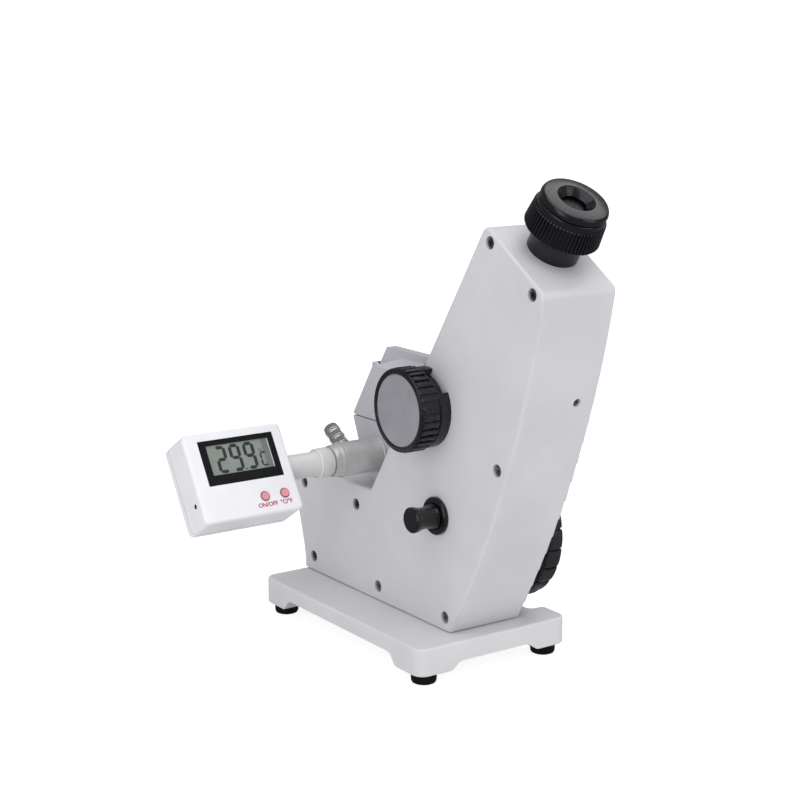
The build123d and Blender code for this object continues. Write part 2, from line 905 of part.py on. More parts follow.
def swing_mirror():
    return mirror_facing() * Pos(0, 0, mirror_glass / 2) * Box(
        mirror_width, mirror_length, mirror_glass)


# Condenser

def condenser_flange():
    body = ring_x(cond_y, cond_z, cond_flange_radius, cond_stem + turn_fit,
                  housing_left - cond_flange_thickness, housing_left)
    outer = [e for e in body.edges().filter_by(GeomType.CIRCLE)
             if e.radius > cond_stem + 1 and e.center().X < housing_left - 1]
    body = fillet(outer, 0.7)
    return body + ring_x(cond_y, cond_z, cond_stem + 1.5, cond_stem + turn_fit,
                         housing_left, cover_split + 1)


def condenser_knob():
    neck_end = housing_left - cond_flange_thickness - 0.3
    head_back = cond_front + cond_head_thickness
    section = make_face(Wire([
        Line((cond_front, 0), (cond_front, cond_head_radius - 0.3)),
        Line((cond_front, cond_head_radius - 0.3), (cond_front + 0.3, cond_head_radius)),
        Line((cond_front + 0.3, cond_head_radius), (head_back, cond_head_radius)),
        ThreePointArc((head_back, cond_head_radius), ((head_back + neck_end) / 2, cond_waist),
                      (neck_end, cond_head_radius)),
        Line((neck_end, cond_head_radius), (neck_end, cond_stem)),
        Line((neck_end, cond_stem), (cond_inner_end, cond_stem)),
        Line((cond_inner_end, cond_stem), (cond_inner_end, 0)),
        Line((cond_inner_end, 0), (cond_front, 0)),
    ]))
    body = revolve(Plane.XY * section, Axis.X)
    return Pos(0, cond_y, cond_z) * body


def condenser_lens():
    return rod_x(cond_y, cond_z, cond_stem - 0.4, cond_inner_end,
                 cond_inner_end + cond_lens_thickness)


# Calibration screw

def calibration_screw():
    plane = calibration_axis().offset(-cal_sunk - cal_length)
    body = extrude(plane * Circle(cal_radius), amount=cal_length)
    slot = plane.offset(cal_length - 0.8).location * Box(
        2 * cal_radius, 0.7, 2, align=(Align.CENTER, Align.CENTER, Align.MIN))
    return body - slot


# Prism mount and seats

def prism_mount():
    depth = flange_thickness
    flange = polygon([
        face_point(0, up_at(0, flange_foot_z)), face_point(depth, up_at(depth, flange_foot_z)),
        face_point(depth, flange_top_s), face_point(0, flange_top_s)])
    body = slab(flange, flange_left, flange_right)
    block_left = arm_left + arm_width + arm_gap
    block_right = 2 * seat_centre - block_left
    block = polygon([
        face_point(0, flange_top_s - 2), face_point(hinge_depth, flange_top_s - 2),
        face_point(hinge_depth, hinge_s + 2), face_point(0, hinge_s + 2)])
    body += slab(block, block_left, block_right)
    body += rod_x(hinge_y, hinge_z, knuckle_radius, block_left, block_right)
    body -= rod_x(hinge_y, hinge_z, hinge_pin_radius, block_left - 1, block_right + 1)
    return body - light_port(-1, depth + 1)


def lower_seat_outline():
    depth = flange_thickness
    top = seam_z - seam_gap / 2
    lean = math.tan(math.radians(lower_lean))
    low_up = lower_bottom_s
    # The rear face leans in towards its foot until it meets the bottom face
    y0, z0 = face_point(depth, low_up)
    slope_rate = slope_sin / slope_cos
    foot_y = (top - lower_rear_y / lean - z0 + slope_rate * y0) / (slope_rate - 1 / lean)
    foot_z = z0 + (foot_y - y0) * slope_rate
    return [
        face_point(depth, low_up), (foot_y, foot_z), (lower_rear_y, top),
        face_point(depth, up_at(depth, top))]


def refracting_prism_seat():
    body = slab(polygon(lower_seat_outline()), seat_left, seat_right)
    rear = [e for e in body.edges().filter_by(Axis.X) if e.center().Y > 20]
    body = fillet(rear, seat_edge)
    body -= slab(lower_glass_outline(), prism_left, prism_right)
    body -= light_port(0, flange_thickness + 6)
    body -= rod_x(therm_y, therm_z, probe_radius + probe_fit, seat_left - 1, seat_left + 4)
    body -= rod_x(lock_y, lock_z, lock_shaft + shaft_fit, seat_right - 8, seat_right + 1)
    return body + flap_ears(reflector_plane, -rear_out)


def lower_glass_outline():
    top = seam_z - glass_proud
    depth = flange_thickness + 3
    return polygon([
        face_point(depth, up_at(depth, top)), (lower_rear_y - 6, top),
        (lower_rear_y - 12, top - 9), face_point(depth + 2, 16), face_point(depth, 18)])


def refracting_prism():
    return slab(lower_glass_outline(), prism_left, prism_right)


def upper_seat_front(z):
    return face_point(flange_thickness + seat_front_gap,
                      up_at(flange_thickness + seat_front_gap, z))


def rear_at(depth, z):
    return face_point(depth, up_at(depth, z))


def entering_prism_seat():
    low = seam_z + seam_gap / 2
    outline = polygon([
        upper_seat_front(low), rear_at(seat_rear_depth, low), rear_at(seat_rear_depth, seat_top_z),
        upper_seat_front(seat_top_z)])
    body = slab(outline, seat_left, seat_right)
    rear = [e for e in body.edges().filter_by(Axis.X) if e.center().Y > 10]
    body = fillet(rear, seat_edge)
    body += hinge_arm(arm_left, arm_left + arm_width, rear_at(arm_rear_depth, seat_top_z)[0])
    far_left = 2 * seat_centre - arm_left - arm_width
    body += hinge_arm(far_left, far_left + arm_width, far_arm_y)
    body += shoulder()
    for left in (arm_left, far_left):
        body -= rod_x(hinge_y, hinge_z, hinge_pin_radius + shaft_fit, left - 1, left + arm_width + 1)
    body -= rod_x(hinge_y, hinge_z, knuckle_radius + arm_gap, arm_left + arm_width, far_left)
    body += flap_ears(shield_plane, -face_dir)
    body += rod_x(lock_y, lock_z + lock_pin_lift, lock_pin_radius, seat_right - 1,
                  seat_right + 0.6 + lock_hook_thickness)
    body -= slab(upper_glass_outline(), prism_left, prism_right)
    body -= slab(entry_window_outline(), prism_left + entry_sill, prism_right - entry_sill)
    return body


def hinge_arm(x_from, x_to, rear_y):
    """A rib along the top of the seat that ends in the hinge knuckle."""
    top = hinge_z + knuckle_radius
    lean = (top - seat_top_z) * slope_sin / slope_cos
    rib = polygon([
        (hinge_y, top), (rear_y - lean, top), (rear_y, seat_top_z),
        (rear_y, seat_top_z - 2), upper_seat_front(seat_top_z - 2), (hinge_y, hinge_z)])
    body = slab(rib, x_from, x_to)
    return body + rod_x(hinge_y, hinge_z, knuckle_radius, x_from, x_to)


def shoulder():
    """The light sloping shoulder between the near side and the rib."""
    rear_y = rear_at(seat_rear_depth, seat_top_z)[0] - 2
    front_y = upper_seat_front(seat_top_z)[0] + 0.5
    section = make_face(Wire([
        Line((seat_left, seat_top_z), (arm_left, seat_top_z)),
        Line((arm_left, seat_top_z), (arm_left, seat_top_z + shoulder_rise)),
        Line((arm_left, seat_top_z + shoulder_rise), (seat_left, seat_top_z)),
    ]))
    ridge = extrude(Plane.XZ.offset(-rear_y) * section, amount=rear_y - front_y)
    cut = polygon([
        (rear_y + 1, seat_top_z), (rear_y + 1, seat_top_z + 9),
        (rear_y - 18, seat_top_z + 9), (rear_y - 18, seat_top_z + shoulder_rise)])
    return ridge - slab(cut, seat_left - 1, arm_left + 1)


def upper_glass_outline():
    low = seam_z + glass_proud
    depth = seat_rear_depth - entry_sill
    return polygon([
        (rear_at(depth, low)[0] - 28, low), rear_at(depth, low),
        face_point(depth, up_at(depth, low) + 19)])


def entry_window_outline():
    depth = seat_rear_depth - entry_sill
    low = up_at(seat_rear_depth, seam_z) + 5
    return polygon([
        face_point(depth - 0.01, low), face_point(seat_rear_depth + 1, low),
        face_point(seat_rear_depth + 1, low + 12), face_point(depth - 0.01, low + 12)])


def entering_prism():
    return slab(upper_glass_outline(), prism_left, prism_right)


def hinge_pin():
    far = 2 * seat_centre - arm_left + 0.6
    pin = rod_x(hinge_y, hinge_z, hinge_pin_radius, arm_left - 1.5, far)
    return pin + rod_x(hinge_y, hinge_z, hinge_pin_head, arm_left - 1.8, arm_left - 0.3)


# Flaps

def shield_hinge():
    """Axis of the light shield, just off the top rear edge of the upper seat, in (y, z)."""
    depth = seat_rear_depth + flap_gap + flap_barrel
    return face_point(depth, up_at(seat_rear_depth, seat_top_z) - 1.5)


def flap_plane(pivot, lean_y, lean_z):
    return Plane(origin=(seat_centre, pivot[0], pivot[1]), x_dir=(1, 0, 0), z_dir=(0, lean_y, lean_z))


def flap(plane, length, flap_way):
    """A thin plate that hangs from a pin barrel; flap_way is 1 up or -1 down the plane."""
    width = seat_right - seat_left - 2 * flap_side
    inward = flap_barrel - flap_thickness / 2
    plate = plane.location * Pos(0, -inward, flap_way * length / 2) * Box(
        width, flap_thickness, length)
    barrel = plane.origin
    return plate + rod_x(barrel.Y, barrel.Z, flap_barrel, plane.origin.X - width / 2,
                         plane.origin.X + width / 2) - rod_x(
        barrel.Y, barrel.Z, flap_pin_radius + shaft_fit, plane.origin.X - width / 2 - 1,
        plane.origin.X + width / 2 + 1)


# Prism lock

def lock_hook():
    inner = lock_pin_lift + lock_pin_radius + lock_hook_gap
    outer = inner + lock_hook_width
    x_from = seat_right + 0.6
    x_to = x_from + lock_hook_thickness
    band = ring_x(lock_y, lock_z, outer, inner, x_from, x_to)
    far = 3 * outer
    start = math.radians(60 + lock_turn)
    end = math.radians(120 + lock_turn)
    sector = polygon([
        (lock_y, lock_z), (lock_y + far * math.cos(start), lock_z + far * math.sin(start)),
        (lock_y + far * math.cos(end), lock_z + far * math.sin(end))])
    band = band & slab(sector, x_from - 1, x_to + 1)
    arm = Pos(0, (inner + 1) / 2) * Rectangle(3.0, inner + 1)
    arm_face = Pos(lock_y, lock_z) * Rot(0, 0, 120 + lock_turn - 90 - 3) * arm
    hub = rod_x(lock_y, lock_z, 4.5, x_from, lock_start)
    body = band + slab(arm_face, x_from, x_to) + hub
    return body - rod_x(lock_y, lock_z, lock_shaft, x_from - 1, lock_start + 1)


def lock_knob():
    body = rod_x(lock_y, lock_z, lock_radius, lock_start, lock_front)
    body = fillet(body.edges().filter_by(GeomType.CIRCLE), 0.8)
    cutters = []
    count = 12
    for i in range(count):
        angle = 2 * math.pi * i / count
        y = lock_y + (lock_radius + 0.6) * math.cos(angle)
        z = lock_z + (lock_radius + 0.6) * math.sin(angle)
        cutters.append(rod_x(y, z, 1.2, lock_start + 1.5, lock_front + 1))
    body = body - cutters
    return body + rod_x(lock_y, lock_z, lock_shaft, seat_right - 5.5, lock_start)


# Thermometer seat and water connectors

def barbed_nipple(plane, root, reach):
    """A hollow hose nipple along the plane's normal, with barbs towards its tip."""
    points = [(nipple_bore, root), (nipple_radius, root), (nipple_radius, reach - nipple_barbs * nipple_barb_pitch)]
    for i in range(nipple_barbs):
        low = reach - (nipple_barbs - i) * nipple_barb_pitch
        points.append((nipple_root, low + 0.4))
        points.append((nipple_radius, low + 1.2))
        points.append((nipple_radius - 0.35, low + nipple_barb_pitch - 1.0))
    points.append((nipple_root, reach))
    points.append((nipple_bore, reach))
    return turned(plane, points)


def seat_nipples():
    """The outlet on the thermometer seat and the inlet on the right of the lower seat."""
    plane = Plane(origin=(nipple_x, therm_y, therm_z), x_dir=(1, 0, 0), z_dir=face_dir)
    outlet = barbed_nipple(plane, therm_barrel - nipple_sink, nipple_reach)
    return Compound(children=[outlet, connector(therm_y, therm_z)])


def thermometer_seat():
    bore = probe_radius + probe_fit
    body = ring_x(therm_y, therm_z, therm_barrel, bore, therm_barrel_end, seat_left)
    lip = therm_barrel + therm_lip
    body += ring_x(therm_y, therm_z, lip, bore, seat_left - therm_lip_width, seat_left)
    body += ring_x(therm_y, therm_z, lip - 0.3, bore, therm_barrel_end, therm_barrel_end + therm_lip_width)
    plane = Plane(origin=(nipple_x, therm_y, therm_z), x_dir=(1, 0, 0), z_dir=face_dir)
    body -= extrude(plane.offset(therm_barrel - nipple_sink) * Circle(nipple_radius), amount=10)
    return body


def gland_nut():
    body = cone_x(therm_y, therm_z, gland_small, therm_barrel, gland_end, therm_barrel_end)
    return body - rod_x(therm_y, therm_z, probe_radius + probe_fit, gland_end - 1, therm_barrel_end + 1)


def connector(y, z):
    """A straight hose nipple out of the right side of a seat."""
    plane = Plane(origin=(seat_right, y, z), x_dir=(0, 1, 0), z_dir=(1, 0, 0))
    return barbed_nipple(plane, 0, connector_reach)


def upper_connectors():
    return Compound(children=[connector(*upper_connector_low), connector(*upper_connector_high)])


upper_connector_low = face_point(seat_rear_depth / 2 - 3, 43.0)
upper_connector_high = face_point(seat_rear_depth - 9, 40.0)


# Thermometer stem and display head

def probe_ferrule():
    body = rod_x(therm_y, therm_z, ferrule_radius, ferrule_end, gland_end - 0.3)
    body = chamfer(body.edges().filter_by(GeomType.CIRCLE), 0.6)
    count = round(2 * math.pi * ferrule_radius / ferrule_pitch)
    cutters = []
    for i in range(count):
        angle = 360 * i / count
        notch = Pos(0, therm_y, therm_z) * Rot(angle, 0, 0) * Pos(
            (ferrule_end + gland_end) / 2, 0, ferrule_radius + 0.15) * Rot(45, 0, 0) * Box(
            abs(ferrule_end - gland_end) - 2.6, 0.8, 0.8)
        cutters.append(notch)
    body = body - cutters
    return body - rod_x(therm_y, therm_z, probe_radius, ferrule_end - 1, gland_end + 1)


def display_right():
    return display_left + display_width


def stem_tube():
    body = rod_x(therm_y, therm_z, stem_tube_radius, display_right(), ferrule_end)
    return body - rod_x(therm_y, therm_z, probe_radius, display_right() - 1, ferrule_end + 1)


def probe_stem():
    body = rod_x(therm_y, therm_z, probe_radius, display_right() + 2, probe_tip)
    tip = [e for e in body.edges().filter_by(GeomType.CIRCLE) if e.center().X > probe_tip - 1]
    return fillet(tip, 0.8)


tilt = math.radians(display_tilt)
display_plane = Plane(
    origin=(display_left, therm_y, therm_z), x_dir=(1, 0, 0),
    z_dir=(0, -math.cos(tilt), math.sin(tilt)))
display_back = display_front - display_depth
display_middle = display_front - display_depth / 2
case_split = display_back + back_depth


def on_display(u, from_top, out):
    """Location on the display head: across from its left, down from its top, out of its middle."""
    return display_plane.location * Pos(u, display_above - from_top, out)


def display_block(u0, u1, top, bottom, w0, w1):
    middle = on_display((u0 + u1) / 2, (top + bottom) / 2, (w0 + w1) / 2)
    return middle * Box(u1 - u0, bottom - top, w1 - w0)


def display_form():
    body = Box(display_width, display_height, display_depth)
    body = fillet(body.edges().filter_by(Axis.Z), case_round)
    rims = body.faces().filter_by(Axis.Z).edges()
    body = fillet(rims, case_round * 0.6)
    return on_display(display_width / 2, display_height / 2, display_middle) * body


def display_hollow():
    body = Box(display_width - 2 * case_wall, display_height - 2 * case_wall,
               display_depth - 2 * case_wall)
    body = fillet(body.edges().filter_by(Axis.Z), case_round - 0.8)
    return on_display(display_width / 2, display_height / 2, display_middle) * body


def display_case_front():
    keep = display_block(-5, display_width + 5, -5, display_height + 5, case_split, display_depth)
    body = display_form() & keep
    body -= display_hollow()
    body -= display_block(bezel_left, bezel_right, bezel_top, bezel_bottom,
                          display_front - case_wall - 1, display_front + 1)
    for u in (power_from_left, unit_from_left):
        spot = on_display(u, button_from_top, display_front - case_wall / 2)
        body -= spot * Cylinder(button_radius + button_clearance, case_wall + 2)
    hole = on_display(case_wall / 2, side_hole_from_top, side_hole_out)
    body -= hole * Rot(0, 90, 0) * Cylinder(side_hole_radius, case_wall + 2)
    body += stem_socket() & keep
    return body - rod_x(therm_y, therm_z, probe_radius, display_right() - 5, display_right() + 1)


def stem_socket():
    """The thickened side wall that the thermometer's tube butts against."""
    return display_block(display_width - 4.5, display_width - 0.8, display_above - 7,
                         display_above + 7, display_back + 0.8, display_front - 0.8)


def display_case_back():
    keep = display_block(-5, display_width + 5, -5, display_height + 5, -display_depth, case_split)
    body = display_form() & keep
    body -= display_hollow()
    body += stem_socket() & keep
    return body - rod_x(therm_y, therm_z, probe_radius, display_right() - 5, display_right() + 1)


def display_bezel():
    front = display_front - bezel_sunk
    body = display_block(bezel_left, bezel_right, bezel_top, bezel_bottom,
                         front - bezel_thickness, front)
    return body - display_block(glass_left, glass_right, glass_top, glass_bottom,
                                front - bezel_thickness - 1, front + 1)


def lcd_panel():
    front = display_front - bezel_sunk - bezel_thickness
    return display_block(glass_left - 1.5, glass_right + 1.5, glass_top - 1.5, glass_bottom + 1.5,
                         board_top(), front)


def button(from_left):
    top = display_front + button_proud
    spot = on_display(from_left, button_from_top, 0)
    foot = display_front - case_wall - button_flange
    cap = spot * Pos(0, 0, (top + foot) / 2) * Cylinder(button_radius, top - foot)
    cap = fillet([e for e in cap.edges().filter_by(GeomType.CIRCLE)
                  if display_plane.to_local_coords(e.center()).Z > display_front], 0.4)
    flange_top = display_front - case_wall - 0.02
    flange = spot * Pos(0, 0, flange_top - button_flange / 2) * Cylinder(
        button_radius + 0.8, button_flange)
    return cap + flange


def board_top():
    """Outer face of the circuit board, with room for the buttons to travel."""
    return display_front - case_wall - 0.02 - button_flange - button_travel - 0.25


def circuit_board():
    top = board_top()
    inset = case_wall + board_inset
    body = display_block(inset, display_width - inset - 3.0, inset, display_height - inset,
                         top - board_thickness, top)
    for u in (inset + 2.5, display_width - inset - 5.5):
        for down in (display_height - inset - 2.5,):
            low = display_back + case_wall
            post = on_display(u, down, (low + top - board_thickness) / 2) * Cylinder(
                1.6, top - board_thickness - low)
            body += post
    return body


def button_cell():
    high = board_top() - board_thickness
    return on_display(display_width * 0.42, display_height * 0.5, high - cell_height / 2) * Cylinder(
        cell_radius, cell_height)


shield_y, shield_z = shield_hinge()
shield_plane = flap_plane((shield_y, shield_z), -slope_sin, slope_cos)

lower_outline = lower_seat_outline()
lower_foot = lower_outline[1]
lower_top = lower_outline[2]
rear_run = Vector(0, lower_top[0] - lower_foot[0], lower_top[1] - lower_foot[1]).normalized()
rear_out = Vector(0, rear_run.Z, -rear_run.Y)
reflector_pivot = (Vector(0, lower_foot[0], lower_foot[1]) + rear_run * 2.5
                   + rear_out * (flap_gap + flap_barrel))
reflector_plane = Plane(
    origin=(seat_centre, reflector_pivot.Y, reflector_pivot.Z), x_dir=(1, 0, 0),
    z_dir=(0, rear_run.Y, rear_run.Z))


def flap_ears(plane, to_seat):
    """The pin that a flap turns on and the two ears that carry it, all part of the seat."""
    half = (seat_right - seat_left) / 2 - flap_side
    centre = plane.origin
    root = centre + to_seat * (flap_barrel + flap_gap + 1)
    body = rod_x(centre.Y, centre.Z, flap_pin_radius, centre.X - half - 1, centre.X + half + 1)
    across = Vector(0, -to_seat.Z, to_seat.Y) * flap_barrel
    for side in (-1, 1):
        start = centre.X + side * (half + flap_gap)
        end = start + side * flap_ear
        low = min(start, end)
        high = max(start, end)
        body += rod_x(centre.Y, centre.Z, flap_barrel, low, high)
        web = polygon([
            (centre.Y + across.Y, centre.Z + across.Z), (root.Y + across.Y, root.Z + across.Z),
            (root.Y - across.Y, root.Z - across.Z), (centre.Y - across.Y, centre.Z - across.Z)])
        body += slab(web, low, high)
    return body


def light_shield():
    return flap(shield_plane, shield_length, -1)


def reflector_flap():
    return flap(reflector_plane, reflector_length, 1)


pieces = {
    "base_casting": base_casting(),
    "base_feet": base_feet(),
    "base_screws": base_screws(),
    "housing_casting": housing_casting(),
    "cover_plate": cover_plate(),
    "cover_screws": cover_screws(),
    "telescope_tube": telescope_tube(),
    "objective_lens": objective_lens(),
    "reticle_plate": reticle_plate(),
    "eyepiece_neck": eyepiece_neck(),
    "eyepiece_ring": eyepiece_ring(),
    "eyepiece_cap": eyepiece_cap(),
    "eye_lens": eye_lens(),
    "field_lens": field_lens(),
    "compensator_barrel": compensator_barrel(),
    "lower_amici_cell": amici_cell(lower_cell_span()),
    "lower_amici_prism": amici_prism(lower_cell_span()),
    "upper_amici_cell": amici_cell(upper_cell_span()),
    "upper_amici_prism": amici_prism(upper_cell_span()),
    "dispersion_knob": dispersion_knob(),
    "knob_disc": knob_disc(),
    "dispersion_scale_ring": dispersion_scale_ring(),
    "dispersion_shaft": dispersion_shaft(),
    "dispersion_bush": dispersion_bush(),
    "dispersion_shroud": dispersion_shroud(),
    "index_handwheel": index_handwheel(),
    "index_shaft": index_shaft(),
    "index_bush": index_bush(),
    "scale_dial": scale_dial(),
    "mirror_holder": mirror_holder(),
    "swing_mirror": swing_mirror(),
    "condenser_flange": condenser_flange(),
    "condenser_knob": condenser_knob(),
    "condenser_lens": condenser_lens(),
    "calibration_screw": calibration_screw(),
    "prism_mount": prism_mount(),
    "refracting_prism_seat": refracting_prism_seat(),
    "refracting_prism": refracting_prism(),
    "entering_prism_seat": entering_prism_seat(),
    "entering_prism": entering_prism(),
    "hinge_pin": hinge_pin(),
    "light_shield": light_shield(),
    "reflector_flap": reflector_flap(),
    "lock_hook": lock_hook(),
    "lock_knob": lock_knob(),
    "thermometer_seat": thermometer_seat(),
    "seat_nipples": seat_nipples(),
    "gland_nut": gland_nut(),
    "upper_connectors": upper_connectors(),
    "probe_ferrule": probe_ferrule(),
    "stem_tube": stem_tube(),
    "probe_stem": probe_stem(),
    "display_case_front": display_case_front(),
    "display_case_back": display_case_back(),
    "display_bezel": display_bezel(),
    "lcd_panel": lcd_panel(),
    "circuit_board": circuit_board(),
    "button_cell": button_cell(),
    "power_button": button(power_from_left),
    "unit_button": button(unit_from_left),
}

os.makedirs("parts", exist_ok=True)
for name, piece in pieces.items():
    placed = Pos(-outline_middle_x, -outline_middle_y, 0) * piece
    export_step(placed, f"parts/{name}.step")
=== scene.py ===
import json
import math

import bmesh
import bpy
from mathutils import Matrix, Vector


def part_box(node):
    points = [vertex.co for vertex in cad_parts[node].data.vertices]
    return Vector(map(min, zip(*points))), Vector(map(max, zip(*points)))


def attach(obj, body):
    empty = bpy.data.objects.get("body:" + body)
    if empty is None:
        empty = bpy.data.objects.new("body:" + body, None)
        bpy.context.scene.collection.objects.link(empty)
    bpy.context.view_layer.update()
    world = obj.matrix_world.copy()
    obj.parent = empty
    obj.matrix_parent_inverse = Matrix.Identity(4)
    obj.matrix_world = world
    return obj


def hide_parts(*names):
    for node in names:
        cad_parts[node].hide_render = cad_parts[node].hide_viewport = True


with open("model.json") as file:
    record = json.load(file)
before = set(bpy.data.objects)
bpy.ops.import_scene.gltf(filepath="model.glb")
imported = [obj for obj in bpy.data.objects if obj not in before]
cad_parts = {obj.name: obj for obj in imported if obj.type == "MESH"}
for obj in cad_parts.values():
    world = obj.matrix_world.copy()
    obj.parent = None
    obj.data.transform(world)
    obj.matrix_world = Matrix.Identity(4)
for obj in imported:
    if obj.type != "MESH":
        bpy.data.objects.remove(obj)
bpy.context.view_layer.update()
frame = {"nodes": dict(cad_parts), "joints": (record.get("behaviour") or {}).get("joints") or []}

MM = 0.001
joints = {joint["name"]: joint for joint in frame["joints"]}
base_low, base_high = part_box("base_casting")
base_middle = Vector(((base_low.x + base_high.x) / 2, (base_low.y + base_high.y) / 2, 0))

# Lean of the housing's rear slope and of the telescope; the outlet nipple stands square to it
SLANT = math.radians(33.12)
LEFT = Vector((-1, 0, 0))
RIGHT = Vector((1, 0, 0))
REAR = Vector((0, 1, 0))

# Edges that bend by fewer degrees are shaded smooth; on screws and prints the limit is lower
SMOOTH_BEND = 35.0
CRISP_BEND = 30.0

# Sizes in millimetres that the frame doesn't state by itself. SKIN is how far the outside of a
# turned piece stays within its CAD node, and WELD the distance under which two points are one.
SKIN = 0.02
WELD = 1e-4
SCREW_DEPTH = 2.2
SCREW_HEIGHT = 1.6
DISPERSION_WALL = 2.7
SHROUD_WALL = 1.8
NIPPLE_RADIUS = 4.07
NIPPLE_LENGTH = 17.0
OUTLET_LEFT = 27.1
OUTLET_ROOT = 6.1
OUTLET_REACH = 22.3
FOOT_RADIUS = 6.2

# Repeats round each grip
EYEPIECE_RIDGES = 64
DISPERSION_RIBS = 32
INDEX_GRIPS = 22
FERRULE_RIDGES = 52

# Display head: across from its left wall, down from its top, and out from the stem's axis
CASE_WIDTH = 53.1
CASE_HEIGHT = 44.3
CASE_ABOVE = 21.2
CASE_FRONT = 8.95
CASE_ROUND = 2.6
CASE_SEAM = -7.65
SEAM_WIDTH = 0.22
GLASS_TOP = 6.7
GLASS_BOTTOM = 21.6
GLASS_SUNK = 0.8
BUTTON_DOWN = 35.4
BUTTON_RADIUS = 2.0
# Width of the ring of painted shade round each button
BUTTON_SHADE_WIDTH = 0.5
HOLE_DOWN = 33.5
HOLE_OUT = 3.5
HOLE_RIM = 1.15
POWER_LABEL_ACROSS = 34.4
UNIT_LABEL_ACROSS = 44.4
LABEL_DOWN = 39.7
LABEL_HEIGHT = 2.9
MARK_THICK = 0.03
SEGMENT_THICK = 0.06
SEGMENT_GAP = 0.12

# Camera of the photograph, its place counted from the middle of the base
CAMERA_PLACE = Vector((-488.8, -694.3, 298.5)) * MM
CAMERA_AZIMUTH = math.radians(-34.79)
CAMERA_ELEVATION = math.radians(11.86)
CAMERA_LENS = 78.75
CAMERA_SENSOR = 36.0


def linear(code):
    """Turn an sRGB hex colour into the linear values that a shader takes."""
    values = []
    for start in (0, 2, 4):
        share = int(code[start:start + 2], 16) / 255
        values.append(share / 12.92 if share <= 0.04045 else ((share + 0.055) / 1.055) ** 2.4)
    return (*values, 1.0)


def add(tree, kind, links=None, values=None, **settings):
    """Add a node; links and values go to inputs by name or number, settings to properties."""
    node = tree.nodes.new(kind)
    for key, value in settings.items():
        setattr(node, key, value)
    for key, value in (values or {}).items():
        node.inputs[key].default_value = value
    for key, socket in (links or {}).items():
        tree.links.new(socket, node.inputs[key])
    return node


def surface(name, code, roughness, **values):
    """Start a material: its tree, its shader and its object coordinates."""
    material = bpy.data.materials.new(name)
    material.use_nodes = True
    tree = material.node_tree
    shader = tree.nodes["Principled BSDF"]
    shader.inputs["Base Color"].default_value = linear(code)
    shader.inputs["Roughness"].default_value = roughness
    for key, value in values.items():
        shader.inputs[key.replace("_", " ")].default_value = value
    place = add(tree, "ShaderNodeTexCoord").outputs["Object"]
    return material, tree, shader, place


def per_metre(size_mm):
    """Scale of a pattern whose repeat has this size."""
    return 1 / (size_mm * MM)


def uneven_colour(tree, shader, place, dark, light, size_mm):
    """Let the colour drift between two tones over patches of this size."""
    noise = add(tree, "ShaderNodeTexNoise", {"Vector": place},
                {"Scale": per_metre(size_mm), "Detail": 3.0})
    ramp = add(tree, "ShaderNodeValToRGB", {"Fac": noise.outputs["Fac"]})
    ramp.color_ramp.elements[0].position = 0.35
    ramp.color_ramp.elements[0].color = linear(dark)
    ramp.color_ramp.elements[1].position = 0.65
    ramp.color_ramp.elements[1].color = linear(light)
    tree.links.new(ramp.outputs["Color"], shader.inputs["Base Color"])


def textured(tree, shader, pattern, depth_mm, strength, roughness=None):
    """Let a pattern raise the surface by this depth and move its roughness within a range."""
    bump = add(tree, "ShaderNodeBump", {"Height": pattern.outputs["Fac"]},
               {"Strength": strength, "Distance": depth_mm * MM})
    tree.links.new(bump.outputs["Normal"], shader.inputs["Normal"])
    if roughness:
        low, high = roughness
        spread = add(tree, "ShaderNodeMapRange", {"Value": pattern.outputs["Fac"]},
                     {"From Min": 0.3, "From Max": 0.7, "To Min": low, "To Max": high})
        tree.links.new(spread.outputs["Result"], shader.inputs["Roughness"])


def enamel(name, dark, light, roughness):
    """Sprayed enamel on a casting: a faint orange peel that softens its highlights."""
    material, tree, shader, place = surface(name, light, roughness, IOR=1.5)
    uneven_colour(tree, shader, place, dark, light, 38)
    peel = add(tree, "ShaderNodeTexNoise", {"Vector": place},
               {"Scale": per_metre(1.1), "Detail": 2.0})
    textured(tree, shader, peel, 0.012, 0.6, (roughness - 0.04, roughness + 0.05))
    return material


def moulded_plastic(name, dark, light, roughness, grain_mm, depth_mm, coat=0.0, gloss=0.5):
    """Moulded ABS, and what looks as even: rubber, laminate, coated and anodised parts, and the
    eye lens in painted shade.

    It gives an even colour with fine sparks in the gloss. The grain is drawn coarser than a
    mould's, so that it shows.
    """
    material, tree, shader, place = surface(name, light, roughness, IOR=1.53, Coat_Weight=coat,
                                            Coat_Roughness=0.15, Specular_IOR_Level=gloss)
    uneven_colour(tree, shader, place, dark, light, 14)
    grain = add(tree, "ShaderNodeTexNoise", {"Vector": place},
                {"Scale": per_metre(grain_mm), "Detail": 4.0})
    textured(tree, shader, grain, depth_mm, 0.8, (roughness - 0.06, roughness + 0.08))
    return material


def turned_metal(name, dark, light, roughness, axis_scale, ring_mm, metal=1.0):
    """Metal off a lathe: fine rings round its axis, so highlights run along it.

    The rings are drawn coarser than a tool's real marks, so that they show.
    """
    material, tree, shader, place = surface(name, light, roughness, Metallic=metal)
    uneven_colour(tree, shader, place, dark, light, 9)
    stretch = add(tree, "ShaderNodeMapping", {"Vector": place}, {"Scale": axis_scale})
    rings = add(tree, "ShaderNodeTexNoise", {"Vector": stretch.outputs["Vector"]},
                {"Scale": per_metre(ring_mm), "Detail": 2.0})
    textured(tree, shader, rings, 0.006, 0.7, (roughness - 0.07, roughness + 0.1))
    return material


def polished_glass(name, code):
    """Optical glass: clear, with the green-grey of its edges."""
    material, tree, shader, place = surface(name, code, 0.02, IOR=1.52, Transmission_Weight=1.0)
    polish = add(tree, "ShaderNodeTexNoise", {"Vector": place}, {"Scale": per_metre(3.0)})
    textured(tree, shader, polish, 0.001, 0.2)
    return material


